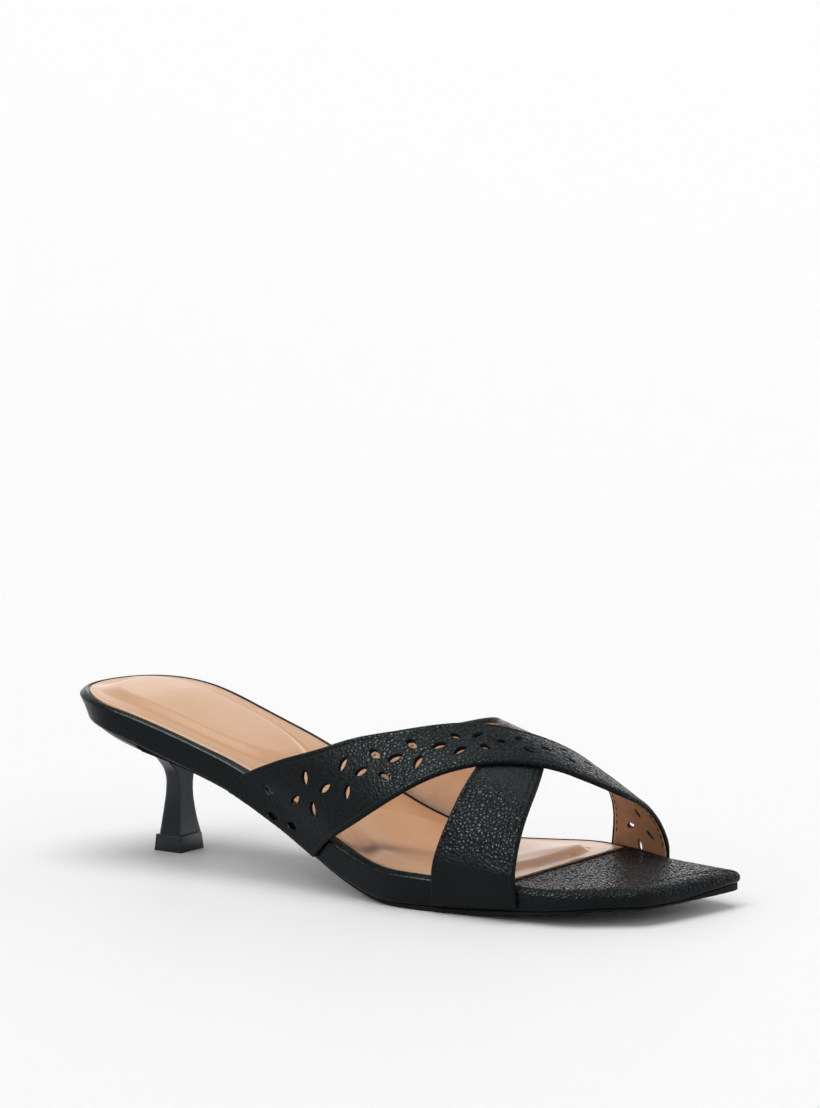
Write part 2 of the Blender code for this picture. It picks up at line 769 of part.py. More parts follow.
def cut_pockets(footbed):
    """Cut the footbed's underside for the straps' lips, with clearance all round."""
    for name, rows in (("perforated", PERFORATED), ("plain", PLAIN)):
        edges = strap_edges(rows)

        def wider(path, share, edges=edges):
            return edges(path, share) + (2 * share - 1) * GAP

        reach = np.concatenate([[-GAP], path_steps()[1:6]])
        for side, paths in (("outer", reach), ("inner", PATH_LENGTH - reach[::-1])):
            label = f"{name}_{side}_pocket"
            flat = flat_slab(label, paths, wider, -POCKET_GAP, 2 * STRAP, across=4)
            pocket = as_cutter(new_object(label, last_mesh(flat, False), cutters))
            boolean(footbed, pocket, "DIFFERENCE")


def as_cutter(item):
    """Mark an object as a cutter, which isn't part of the shoe."""
    item.hide_render = True
    item.display_type = "WIRE"
    return item


def boolean(item, tool, operation):
    """Cut or join one object with another."""
    modifier = item.modifiers.new(tool.name, "BOOLEAN")
    modifier.operation = operation
    modifier.solver = "EXACT"
    modifier.object = tool


class Finish(NamedTuple):
    """Colour and gloss of one material."""

    colour: tuple
    roughness: float


FINISHES = {
    "outsole": Finish((0.012, 0.012, 0.013), 0.6),
    "footbed": Finish((0.014, 0.015, 0.017), 0.45),
    "insole": Finish((0.62, 0.37, 0.20), 0.5),
    "heel": Finish((0.012, 0.014, 0.018), 0.15),
    "heel_tip": Finish((0.012, 0.012, 0.014), 0.35),
    "upper": Finish((0.014, 0.015, 0.017), 0.45),
}


def dress(item):
    """Give a piece its own material and smooth shading."""
    finish = FINISHES[item.name]
    material = bpy.data.materials.new(item.name)
    material.use_nodes = True
    shader = material.node_tree.nodes["Principled BSDF"]
    shader.inputs["Base Color"].default_value = (*finish.colour, 1.0)
    shader.inputs["Roughness"].default_value = finish.roughness
    item.data.materials.append(material)
    item.data.shade_smooth()
    item.data.set_sharp_from_angle(angle=math.radians(35))


def stand_on_origin(pieces):
    """Move the root so that the middle of the shoe's footprint is the origin."""
    bpy.context.view_layer.update()
    graph = bpy.context.evaluated_depsgraph_get()
    corners = []
    for piece in pieces:
        ready = piece.evaluated_get(graph)
        corners += [ready.matrix_world @ vert.co for vert in ready.data.vertices]
    low = np.min(np.array(corners), axis=0)
    high = np.max(np.array(corners), axis=0)
    root.location = (-(low[0] + high[0]) / 2, -(low[1] + high[1]) / 2, 0.0)


for old in list(bpy.data.objects):
    bpy.data.objects.remove(old)
parts = bpy.data.collections.new("heeled_slide_sandal")
cutters = bpy.data.collections.new("cutters")
bpy.context.scene.collection.children.link(parts)
bpy.context.scene.collection.children.link(cutters)
root = bpy.data.objects.new("shoe_root", None)
parts.objects.link(root)

footbed = make_footbed()
cut_pockets(footbed)
sandal = [footbed, make_outsole(), make_insole(), make_heel(), make_heel_tip(), make_upper()]
for piece in sandal:
    dress(piece)
stand_on_origin(sandal)
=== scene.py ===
"""Looks of a heeled slide sandal, right shoe, with two crossed straps and leaf-shaped holes.

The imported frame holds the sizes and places. Each class below makes the finished form of its
pieces over the same last, in metres from the back of the seat, and moves them to the frame.
"""

import logging
import math
from dataclasses import dataclass, field
from enum import Enum
from typing import Callable, NamedTuple, Optional, Sequence

import bmesh
import bpy
import numpy as np
from mathutils import Matrix, Vector


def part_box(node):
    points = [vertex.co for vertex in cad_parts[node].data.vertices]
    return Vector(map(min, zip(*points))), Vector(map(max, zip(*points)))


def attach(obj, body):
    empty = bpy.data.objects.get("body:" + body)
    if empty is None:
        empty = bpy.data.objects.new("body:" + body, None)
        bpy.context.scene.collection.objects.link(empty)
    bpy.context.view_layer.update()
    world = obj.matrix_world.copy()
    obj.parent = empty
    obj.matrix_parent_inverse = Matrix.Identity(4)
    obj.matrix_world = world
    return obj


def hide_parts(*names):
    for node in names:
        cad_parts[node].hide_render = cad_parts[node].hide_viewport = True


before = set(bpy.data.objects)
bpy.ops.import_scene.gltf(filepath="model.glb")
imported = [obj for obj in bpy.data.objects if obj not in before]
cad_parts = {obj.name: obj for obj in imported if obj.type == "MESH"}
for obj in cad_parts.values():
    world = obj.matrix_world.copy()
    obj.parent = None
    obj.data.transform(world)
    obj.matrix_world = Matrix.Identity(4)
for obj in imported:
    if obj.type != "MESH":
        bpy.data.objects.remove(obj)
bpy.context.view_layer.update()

MM = 0.001
LEAF_SIDES = 28
BODY = "root"
log = logging.getLogger("sandal")


class Side(Enum):
    """Side of the foot, as the sign of Y."""

    OUTER = -1
    INNER = 1


class Width(Enum):
    """Named widths of the footbed."""

    SEAT = 55.0 * MM
    WAIST = 51.5 * MM
    BALL = 78.0 * MM
    TOE = 43.0 * MM


class Breadth(NamedTuple):
    """Half breadths of the footbed at one station, as shares of a named width."""

    along: float
    outer: float
    inner: float
    of: Width


BREADTHS = (
    Breadth(0.00, 0.475, 0.510, Width.SEAT),
    Breadth(0.12, 0.510, 0.505, Width.SEAT),
    Breadth(0.25, 0.515, 0.492, Width.WAIST),
    Breadth(0.40, 0.525, 0.480, Width.WAIST),
    Breadth(0.52, 0.630, 0.535, Width.WAIST),
    Breadth(0.62, 0.473, 0.404, Width.BALL),
    Breadth(0.72, 0.455, 0.538, Width.BALL),
    Breadth(0.80, 0.444, 0.488, Width.BALL),
    Breadth(0.90, 0.700, 0.720, Width.TOE),
    Breadth(1.00, 0.420, 0.600, Width.TOE),
)


class Rise(NamedTuple):
    """Height of the footbed's underside over the ball at one station."""

    along: float
    height: float


HEEL_RISE = 42.0 * MM
TOE_SPRING = 5.2 * MM

RISES = (
    Rise(0.00, 1.000 * HEEL_RISE),
    Rise(0.10, 0.940 * HEEL_RISE),
    Rise(0.20, 0.808 * HEEL_RISE),
    Rise(0.30, 0.635 * HEEL_RISE),
    Rise(0.40, 0.385 * HEEL_RISE),
    Rise(0.50, 0.135 * HEEL_RISE),
    Rise(0.58, 0.012 * HEEL_RISE),
    Rise(0.66, -0.003 * HEEL_RISE),
    Rise(0.74, 0.100 * TOE_SPRING),
    Rise(0.82, 0.440 * TOE_SPRING),
    Rise(0.90, 0.860 * TOE_SPRING),
    Rise(1.00, 1.000 * TOE_SPRING),
)


class Board(NamedTuple):
    """Share of the seat's extra thickness, and setback of the outsole, at one station."""

    along: float
    toe_to_seat: float
    ball_to_waist: float


BOARDS = (
    Board(0.00, 0.87, 0.8),
    Board(0.12, 1.20, 0.9),
    Board(0.25, 1.13, 1.0),
    Board(0.45, 1.03, 1.0),
    Board(0.58, 0.87, 0.4),
    Board(0.68, 0.74, 0.0),
    Board(0.75, 0.61, 0.0),
    Board(0.82, 0.38, 0.0),
    Board(0.90, 0.09, 0.0),
    Board(1.00, 0.00, 0.0),
)


class Instep(NamedTuple):
    """Height of the last over the footbed at one station, as a share of the instep's."""

    along: float
    height: float


INSTEPS = (
    Instep(0.29, 0.94),
    Instep(0.41, 0.95),
    Instep(0.54, 1.00),
    Instep(0.66, 0.89),
    Instep(0.785, 0.615),
    Instep(0.89, 0.29),
)


class StrapEdges(NamedTuple):
    """Rear and front edge of a strap, as shares of the length, around the last."""

    around: float
    rear: float
    front: float


PERFORATED = (
    StrapEdges(-0.08, 0.312, 0.470),
    StrapEdges(0.00, 0.345, 0.503),
    StrapEdges(0.10, 0.412, 0.566),
    StrapEdges(0.20, 0.492, 0.636),
    StrapEdges(0.40, 0.650, 0.757),
    StrapEdges(0.60, 0.735, 0.837),
    StrapEdges(0.80, 0.756, 0.847),
    StrapEdges(1.00, 0.740, 0.853),
    StrapEdges(1.08, 0.738, 0.854),
)

PLAIN = (
    StrapEdges(-0.08, 0.685, 0.815),
    StrapEdges(0.00, 0.685, 0.813),
    StrapEdges(0.20, 0.701, 0.803),
    StrapEdges(0.40, 0.700, 0.780),
    StrapEdges(0.60, 0.648, 0.729),
    StrapEdges(0.80, 0.510, 0.650),
    StrapEdges(1.00, 0.372, 0.542),
    StrapEdges(1.08, 0.363, 0.533),
)


class Leaf(NamedTuple):
    """One leaf-shaped hole: place around the last, across the strap, and turn in degrees."""

    around: float
    across: float
    turn: float


LEAVES = (
    Leaf(-0.050, 0.46, 60),
    Leaf(-0.036, 0.66, 60),
    Leaf(0.006, 0.26, 55),
    Leaf(0.034, 0.48, -17),
    Leaf(0.050, 0.64, -83),
    Leaf(0.101, 0.29, -85),
    Leaf(0.111, 0.49, -9),
    Leaf(0.132, 0.65, -65),
    Leaf(0.178, 0.31, -48),
    Leaf(0.187, 0.49, -5),
    Leaf(0.201, 0.69, 57),
    Leaf(0.235, 0.33, 48),
    Leaf(0.247, 0.50, 0),
    Leaf(0.259, 0.70, -51),
    Leaf(0.293, 0.35, 55),
    Leaf(0.315, 0.52, -3),
    Leaf(0.327, 0.69, -28),
    Leaf(0.359, 0.36, 36),
    Leaf(0.372, 0.66, 32),
    Leaf(0.393, 0.37, -35),
    Leaf(0.418, 0.52, 0),
    Leaf(0.450, 0.67, 20),
    Leaf(0.471, 0.36, -30),
    Leaf(0.516, 0.46, 4),
    Leaf(0.554, 0.60, 25),
    Leaf(0.582, 0.27, -30),
    Leaf(0.623, 0.43, 0),
    Leaf(0.675, 0.57, 22),
    Leaf(0.705, 0.25, 60),
    Leaf(0.775, 0.32, -60),
    Leaf(0.845, 0.55, 14),
    Leaf(0.915, 0.34, -60),
    Leaf(0.925, 0.70, 55),
    Leaf(0.985, 0.50, 20),
)


class HeelSection(NamedTuple):
    """Section of the heel: share of its height, and form as shares of the neck's sizes.

    Square is high for a block and low for a section that narrows backwards. Seat says how far
    the section has taken the seat's own outline.
    """

    height: float
    back: float
    front: float
    width: float
    square: float
    seat: float


HEEL_SECTIONS = (
    HeelSection(0.000, 0.76, 0.74, 1.62, 6.0, 0.0),
    HeelSection(0.120, 0.69, 0.65, 1.37, 6.0, 0.0),
    HeelSection(0.260, 0.60, 0.58, 1.14, 6.0, 0.0),
    HeelSection(0.420, 0.49, 0.54, 1.00, 6.0, 0.0),
    HeelSection(0.560, 0.45, 0.53, 1.15, 5.0, 0.0),
    HeelSection(0.640, 0.50, 0.52, 1.43, 5.0, 0.0),
    HeelSection(0.710, 0.54, 0.52, 2.05, 5.0, 0.0),
    HeelSection(0.785, 0.60, 0.52, 2.90, 5.0, 0.0),
    HeelSection(0.860, 0.86, 0.53, 4.30, 4.0, 0.0),
    HeelSection(0.915, 1.40, 0.57, 5.30, 3.5, 0.2),
    HeelSection(0.955, 2.60, 0.60, 6.20, 3.2, 0.7),
    HeelSection(0.988, 4.00, 0.62, 6.60, 3.0, 1.0),
    HeelSection(1.000, 4.00, 0.62, 6.60, 3.0, 1.0),
)


def smoothstep(share: np.ndarray) -> np.ndarray:
    """Ease a share from 0 to 1, and hold it outside."""
    share = np.clip(share, 0, 1)
    return share ** 2 * (3 - 2 * share)


class SmoothCurve:
    """A smooth function through values at given places, straight past its ends."""

    def __init__(self, places: Sequence[float], values: Sequence[float]) -> None:
        """Work out the tangents.

        Args:
            places: rising places.
            values: the value at each place.
        """
        self.places = np.array(places, float)
        self.values = np.array(values, float)
        self.steps = np.diff(self.places)
        slopes = np.diff(self.values) / self.steps
        self.tangents = np.empty_like(self.values)
        self.tangents[0] = slopes[0]
        self.tangents[-1] = slopes[-1]
        weights = self.steps[1:] + self.steps[:-1]
        self.tangents[1:-1] = (slopes[:-1] * self.steps[1:] + slopes[1:] * self.steps[:-1]) / weights

    def __call__(self, place: np.ndarray) -> np.ndarray:
        """Return the value at each place.

        Args:
            place: one place or an array of them.

        Returns:
            The values, with the shape of the places.
        """
        place = np.asarray(place, float)
        inside = np.clip(place, self.places[0], self.places[-1])
        row = np.searchsorted(self.places, inside, side="right") - 1
        row = np.clip(row, 0, len(self.steps) - 1)
        step = self.steps[row]
        part = (inside - self.places[row]) / step
        rest = 1 - part
        smooth = (self.values[row] * (1 + 2 * part) * rest ** 2
                  + self.values[row + 1] * part ** 2 * (1 + 2 * rest)
                  + step * self.tangents[row] * part * rest ** 2
                  - step * self.tangents[row + 1] * part ** 2 * rest)
        beyond = np.where(place < self.places[0], self.tangents[0], self.tangents[-1])
        return smooth + beyond * (place - inside)


@dataclass
class Last:
    """The foot's form: outline, heights and instep, from the back of the seat to the toe."""

    length: float = 242.0 * MM
    seat_rounding: float = 30.0 * MM
    seat_squareness: float = 2.1
    toe_rounding: float = 5.0 * MM
    toe_squareness: float = 4.0
    toe_slant: float = 8.0 * MM
    toe_slant_reach: float = 34.0 * MM
    seat_thickness: float = 10.0 * MM
    toe_thickness: float = 4.2 * MM
    outsole_thickness: float = 2.0 * MM
    instep_height: float = 49.0 * MM
    fullness: float = 1.85
    gap: float = 0.3 * MM
    cup_lift: float = 1.9 * MM
    lift_to: float = 62.0 * MM
    lift_fade: float = 48.0 * MM
    seat_dip: float = 1.3 * MM
    dip_from: float = 5.0 * MM
    dip_rise: float = 23.0 * MM
    dip_to: float = 100.0 * MM
    dip_fade: float = 40.0 * MM
    outer_from: float = 4.0 * MM
    outer_fade: float = 8.0 * MM
    ball_sag: float = 0.6 * MM
    ball_from: float = 0.48
    ball_reach: float = 0.14
    toe_sag: float = 0.9 * MM
    toe_from: float = 0.76
    toe_reach: float = 0.12
    sag_from: float = 22.0 * MM
    sag_fade: float = 26.0 * MM

    def __post_init__(self) -> None:
        """Make the smooth curves through the tables."""
        along = [row.along for row in BREADTHS]
        self.breadths = {
            Side.OUTER: SmoothCurve(along, [row.outer * row.of.value for row in BREADTHS]),
            Side.INNER: SmoothCurve(along, [row.inner * row.of.value for row in BREADTHS]),
        }
        self.rise = SmoothCurve([row.along for row in RISES], [row.height for row in RISES])
        boards = [row.along for row in BOARDS]
        self.thickening = SmoothCurve(boards, [row.toe_to_seat for row in BOARDS])
        self.waisting = SmoothCurve(boards, [row.ball_to_waist for row in BOARDS])
        self.insteps = SmoothCurve([row.along for row in INSTEPS], [row.height for row in INSTEPS])

    def bottom(self, x: np.ndarray) -> np.ndarray:
        """Height of the footbed's underside."""
        return self.outsole_thickness + self.gap + self.rise(x / self.length)

    def top(self, x: np.ndarray) -> np.ndarray:
        """Height of the footbed's upper face."""
        extra = (self.seat_thickness - self.toe_thickness) * self.thickening(x / self.length)
        return self.bottom(x) + self.toe_thickness + extra - self.seat_dip * self.beside_seat(x)

    def beside_seat(self, x: np.ndarray) -> np.ndarray:
        """Share of the seat's long sides, from its round back to the straps."""
        behind = smoothstep((x - self.dip_from) / self.dip_rise)
        return behind * smoothstep((self.dip_to - x) / self.dip_fade)

    def outer_seat(self, x: np.ndarray, y: np.ndarray) -> np.ndarray:
        """Share of the seat's outer side, where the sock comes close to the wall."""
        return self.beside_seat(x) * smoothstep((self.outer_from - y) / self.outer_fade)

    def seat_lift(self, x: np.ndarray) -> np.ndarray:
        """Rise of the wrapped wall's lower edge at the seat, over the heel's cup."""
        return self.cup_lift * smoothstep((self.lift_to - x) / self.lift_fade)

    def at_toe(self, x: np.ndarray) -> np.ndarray:
        """Share of the toe at places along the foot."""
        return smoothstep((x / self.length - self.toe_from) / self.toe_reach)

    def sag(self, x: np.ndarray, y: np.ndarray) -> np.ndarray:
        """Drop of the wrapped wall's lower edge on the outer side, under the ball and the toe.

        Args:
            x: places along the foot.
            y: places across the foot.

        Returns:
            Distances down.
        """
        ball = smoothstep((x / self.length - self.ball_from) / self.ball_reach)
        drop = self.ball_sag * ball + self.toe_sag * self.at_toe(x)
        return drop * smoothstep((self.sag_from - y) / self.sag_fade)

    def wall_foot(self, x: np.ndarray, y: np.ndarray) -> np.ndarray:
        """Height of the wrapped wall's lower edge."""
        return self.bottom(x) - self.sag(x, y) + self.seat_lift(x)

    def instep(self, x: np.ndarray) -> np.ndarray:
        """Height of the last over the footbed."""
        return self.instep_height * self.insteps(x / self.length)

    def half_breadth(self, x: np.ndarray, side: Side) -> np.ndarray:
        """Half breadth of the footbed on one side.

        Args:
            x: places along the foot.
            side: the side that is asked for.

        Returns:
            Distances from the middle line.
        """
        x = np.asarray(x, float)
        back = np.clip(1 - x / self.seat_rounding, 0, 1)
        toe = np.clip(1 - (self.length - x) / self.toe_rounding, 0, 1)
        round_back = (1 - back ** self.seat_squareness) ** (1 / self.seat_squareness)
        round_toe = (1 - toe ** self.toe_squareness) ** (1 / self.toe_squareness)
        return self.breadths[side](x / self.length) * round_back * round_toe

    def slanted(self, x: np.ndarray, y: np.ndarray) -> np.ndarray:
        """Move the plan back where the toe slants from the inner to the outer side.

        Args:
            x: places along the foot.
            y: places across the foot.

        Returns:
            Moved places along the foot.
        """
        inner = Width.TOE.value * BREADTHS[-1].inner
        share = (inner - y) / Width.TOE.value
        fade = smoothstep((x - self.length + self.toe_slant_reach) / self.toe_slant_reach)
        return x - self.toe_slant * share * fade

    def stations(self, first: float, last: float, spacing: float = 1.3 * MM,
                 turns: int = 40) -> np.ndarray:
        """Places along the foot, close together where the outline is round.

        Args:
            first: the first place.
            last: the last place.
            spacing: distance between places where the outline is long.
            turns: places on each round end.

        Returns:
            Rising places, with both ends.
        """
        angle = np.linspace(0, math.pi / 2, turns + 1)
        back = self.seat_rounding * (1 - np.cos(angle) ** (2 / self.seat_squareness))
        toe = self.length - self.toe_rounding * (1 - np.sin(angle) ** (2 / self.toe_squareness))
        count = round((toe[0] - back[-1]) / spacing)
        middle = np.linspace(back[-1], toe[0], count + 1)[1:-1]
        places = np.concatenate([back, middle, toe])
        places = places[(places > first + spacing / 2) & (places < last - spacing / 2)]
        if last > self.length - self.toe_rounding:
            places = np.concatenate([places, toe[toe > places[-1]][:-1]])
        if first == 0:
            places = np.concatenate([back[(back > 0) & (back < places[0])], places])
        return np.concatenate([[first], places, [last]])


class Outline:
    """Closed outline of the footbed between two places, with its stations across the foot."""

    def __init__(self, last: Last, first: float, end: float, columns: int = 40) -> None:
        """Lay out the outer side forwards, the front edge, and the inner side back.

        Args:
            last: the foot's form.
            first: the first place along the foot.
            end: the last place along the foot.
            columns: steps across the foot, also along a straight end.
        """
        self.columns = columns
        places = last.stations(first, end)
        count = len(places)
        outer = np.column_stack([places, -last.half_breadth(places, Side.OUTER)])
        inner = np.column_stack([places, last.half_breadth(places, Side.INNER)])
        points = [tuple(point) for point in outer]
        self.ends: list[tuple[int, int, list[int]]] = []
        if inner[-1, 1] - outer[-1, 1] > MM:
            between = list(range(count, count + columns - 1))
            points += [(end, 0.0)] * (columns - 1)
            points.append(tuple(inner[-1]))
            self.ends.append((count - 1, len(points) - 1, between))
            inner_last = len(points) - 1
        else:
            inner_last = count - 1
        self.inner_index = np.empty(count, int)
        self.inner_index[-1] = inner_last
        for index in range(count - 2, 0, -1):
            points.append(tuple(inner[index]))
            self.inner_index[index] = len(points) - 1
        if inner[0, 1] - outer[0, 1] > MM:
            points.append(tuple(inner[0]))
            self.inner_index[0] = len(points) - 1
            between = list(range(len(points), len(points) + columns - 1))
            points += [(first, 0.0)] * (columns - 1)
            self.ends.append((len(points) - columns, 0, between))
        else:
            self.inner_index[0] = 0
        self.outer_index = np.arange(count)
        loop = np.array(points, float)
        loop[:, 0] = last.slanted(loop[:, 0], loop[:, 1])
        self.loop = self.straightened(loop)

    def straightened(self, loop: np.ndarray) -> np.ndarray:
        """Space the points of a straight end evenly between its corners.

        Args:
            loop: the outline's points.

        Returns:
            The points, with those of a straight end spaced evenly.
        """
        for start, stop, between in self.ends:
            shares = np.arange(1, self.columns)[:, None] / self.columns
            loop[between] = loop[start] + (loop[stop] - loop[start]) * shares
        return loop

    def inset(self, amounts: np.ndarray) -> np.ndarray:
        """Move the outline inwards, mitred at its corners.

        Args:
            amounts: one distance, or one for each point.

        Returns:
            The moved points.
        """
        before = self.loop - np.roll(self.loop, 1, axis=0)
        after = np.roll(self.loop, -1, axis=0) - self.loop
        before /= np.linalg.norm(before, axis=1, keepdims=True)
        after /= np.linalg.norm(after, axis=1, keepdims=True)
        left_before = np.stack([-before[:, 1], before[:, 0]], axis=1)
        left_after = np.stack([-after[:, 1], after[:, 0]], axis=1)
        corner = np.maximum(1 + (left_before * left_after).sum(axis=1, keepdims=True), 0.5)
        mitre = (left_before + left_after) / corner
        amounts = np.broadcast_to(np.asarray(amounts, float), len(self.loop))
        return self.straightened(self.loop + mitre * amounts[:, None])

    def cap(self, loop: np.ndarray) -> np.ndarray:
        """Rows of plan points across the foot inside a moved outline.

        Args:
            loop: the moved outline.

        Returns:
            Rows and columns of points.
        """
        shares = np.linspace(0, 1, self.columns + 1)[None, :, None]
        outer = loop[self.outer_index][:, None]
        inner = loop[self.inner_index][:, None]
        return outer + (inner - outer) * shares


def with_heights(plan: np.ndarray, heights: np.ndarray) -> np.ndarray:
    """Add heights to plan points."""
    return np.concatenate([plan, np.asarray(heights)[..., None]], axis=-1)


def deselected() -> None:
    """Leave edit mode and deselect everything, because operators act on what is selected."""
    if bpy.context.object is not None and bpy.context.object.mode != "OBJECT":
        bpy.ops.object.mode_set(mode="OBJECT")
    bpy.ops.object.select_all(action="DESELECT")


def sheet_of(name: str, points: np.ndarray) -> bpy.types.Object:
    """Add a grid primitive and pull its vertices onto rows and columns of points.

    Args:
        name: name of the new object.
        points: array of rows, columns and coordinates.

    Returns:
        The sheet, whose faces look along the row direction crossed with the column one.
    """
    deselected()
    rows, columns = points.shape[:2]
    bpy.ops.mesh.primitive_grid_add(x_subdivisions=columns - 1, y_subdivisions=rows - 1, size=1)
    sheet = bpy.context.active_object
    sheet.name = name
    sheet.data.vertices.foreach_set("co", points.astype(np.float32).ravel())
    sheet.data.update()
    return sheet


def closed_form(name: str, sheets: Sequence[bpy.types.Object]) -> bpy.types.Object:
    """Join sheets whose edges meet into one closed form with its faces pointing out.

    Args:
        name: name of the form.
        sheets: the sheets, which are used up.

    Returns:
        The form.
    """
    deselected()
    for sheet in sheets:
        sheet.select_set(True)
    bpy.context.view_layer.objects.active = sheets[0]
    bpy.ops.object.join()
    form = bpy.context.active_object
    form.name = name
    form.data.name = name
    bpy.ops.object.mode_set(mode="EDIT")
    bpy.ops.mesh.select_all(action="SELECT")
    bpy.ops.mesh.remove_doubles(threshold=1e-6)
    bpy.ops.mesh.dissolve_degenerate(threshold=1e-7)
    bpy.ops.mesh.normals_make_consistent(inside=False)
    bpy.ops.object.mode_set(mode="OBJECT")
    return form


def band_of(rings: np.ndarray) -> bpy.types.Object:
    """Make a wall from closed rings of points, whose last column meets the first."""
    return sheet_of("wall", np.concatenate([rings, rings[:, :1]], axis=1))


def picked(piece: bpy.types.Object) -> None:
    """Select one piece alone and make it the active one."""
    deselected()
    piece.select_set(True)
    bpy.context.view_layer.objects.active = piece


def applied(piece: bpy.types.Object, kind: str, **settings: object) -> None:
    """Add a modifier and apply it.

    Args:
        piece: the object.
        kind: the modifier's type.
        **settings: the modifier's values by name.
    """
    picked(piece)
    modifier = piece.modifiers.new(kind.lower(), kind)
    for setting, value in settings.items():
        setattr(modifier, setting, value)
    bpy.ops.object.modifier_apply(modifier=modifier.name)


def smooth(piece: bpy.types.Object, degrees: float = 35.0) -> None:
    """Shade a piece smooth, except along edges sharper than an angle."""
    picked(piece)
    bpy.ops.object.shade_smooth_by_angle(angle=math.radians(degrees))


def points_of(piece: bpy.types.Object) -> np.ndarray:
    """Return a mesh object's vertices as rows.

    Args:
        piece: the object.

    Returns:
        Rows of coordinates.
    """
    points = np.empty(len(piece.data.vertices) * 3, np.float32)
    piece.data.vertices.foreach_get("co", points)
    return points.reshape(-1, 3).astype(float)


def set_points(piece: bpy.types.Object, points: np.ndarray) -> None:
    """Move a mesh object's vertices."""
    piece.data.vertices.foreach_set("co", points.astype(np.float32).ravel())
    piece.data.update()


def paint(piece: bpy.types.Object, name: str, values: np.ndarray) -> None:
    """Store one number for each vertex, which a material can read."""
    layer = piece.data.attributes.new(name, "FLOAT", "POINT")
    layer.data.foreach_set("value", np.asarray(values, np.float32))


class Tree:
    """A Principled material that is built node by node."""

    def __init__(self, name: str) -> None:
        """Start a material.

        Args:
            name: name of the material.
        """
        self.material = bpy.data.materials.new(name)
        self.material.use_nodes = True
        self.nodes = self.material.node_tree.nodes
        self.links = self.material.node_tree.links
        self.shader = self.nodes["Principled BSDF"]

    def add(self, kind: str, inputs: Optional[dict] = None, **settings: object) -> bpy.types.Node:
        """Add a node.

        Args:
            kind: the node's type, without its prefix.
            inputs: values or sockets by the name or number of the input.
            **settings: the node's own settings.

        Returns:
            The node.
        """
        node = self.nodes.new("ShaderNode" + kind)
        for setting, value in settings.items():
            setattr(node, setting, value)
        for key, value in (inputs or {}).items():
            self.feed(node.inputs[key], value)
        return node

    def feed(self, socket: bpy.types.NodeSocket, value: object) -> None:
        """Set an input, or link it to an output.

        Args:
            socket: the input.
            value: a number, a colour or an output.
        """
        if isinstance(value, bpy.types.NodeSocket):
            self.links.new(value, socket)
        else:
            socket.default_value = value

    def set(self, **inputs: object) -> None:
        """Set or link inputs of the Principled shader, with underscores for spaces."""
        for key, value in inputs.items():
            self.feed(self.shader.inputs[key.replace("_", " ")], value)

    def math(self, operation: str, first: object, second: object) -> bpy.types.NodeSocket:
        """Return the result of a sum on sockets or numbers."""
        return self.add("Math", {0: first, 1: second}, operation=operation).outputs[0]

    def spread(self, value: object, low: float, high: float, start: float = 0.0,
               stop: float = 1.0) -> bpy.types.NodeSocket:
        """Map a socket from one range to another.

        Args:
            value: the socket.
            low: result at the start.
            high: result at the stop.
            start: low end of the socket's range.
            stop: high end of the socket's range.

        Returns:
            The mapped socket.
        """
        inputs = {"Value": value, "From Min": start, "From Max": stop, "To Min": low, "To Max": high}
        return self.add("MapRange", inputs).outputs[0]

    def mix(self, share: object, first: object, second: object) -> bpy.types.NodeSocket:
        """Mix two colours, each a socket or a triple.

        Args:
            share: share of the second colour.
            first: the first colour.
            second: the second colour.

        Returns:
            The mixed colour.
        """
        node = self.add("Mix", data_type="RGBA")
        self.feed(node.inputs[0], share)
        for socket, colour in ((node.inputs[6], first), (node.inputs[7], second)):
            self.feed(socket, colour if isinstance(colour, bpy.types.NodeSocket) else (*colour, 1.0))
        return node.outputs[2]

    def place(self) -> bpy.types.NodeSocket:
        """Return the Object coordinates."""
        return self.add("TexCoord").outputs["Object"]

    def painted(self, name: str) -> bpy.types.NodeSocket:
        """Return a number that is stored for each vertex."""
        return self.add("Attribute", attribute_name=name).outputs["Fac"]

    def noise(self, scale: float, detail: float, roughness: float = 0.5) -> bpy.types.NodeSocket:
        """Return a noise between 0 and 1.

        Args:
            scale: cells in a metre.
            detail: octaves.
            roughness: strength of the finer octaves.

        Returns:
            The noise's value.
        """
        inputs = {"Vector": self.place(), "Scale": scale, "Detail": detail, "Roughness": roughness}
        return self.add("TexNoise", inputs).outputs[0]

    def bump(self, height: object, distance: float, strength: object,
             normal: object = None) -> bpy.types.NodeSocket:
        """Return a normal that is bent by a height.

        Args:
            height: the height's socket.
            distance: metres for a height of one.
            strength: share of the effect.
            normal: a normal to start from.

        Returns:
            The bent normal.
        """
        inputs = {"Height": height, "Distance": distance, "Strength": strength}
        if normal is not None:
            inputs["Normal"] = normal
        return self.add("Bump", inputs).outputs[0]


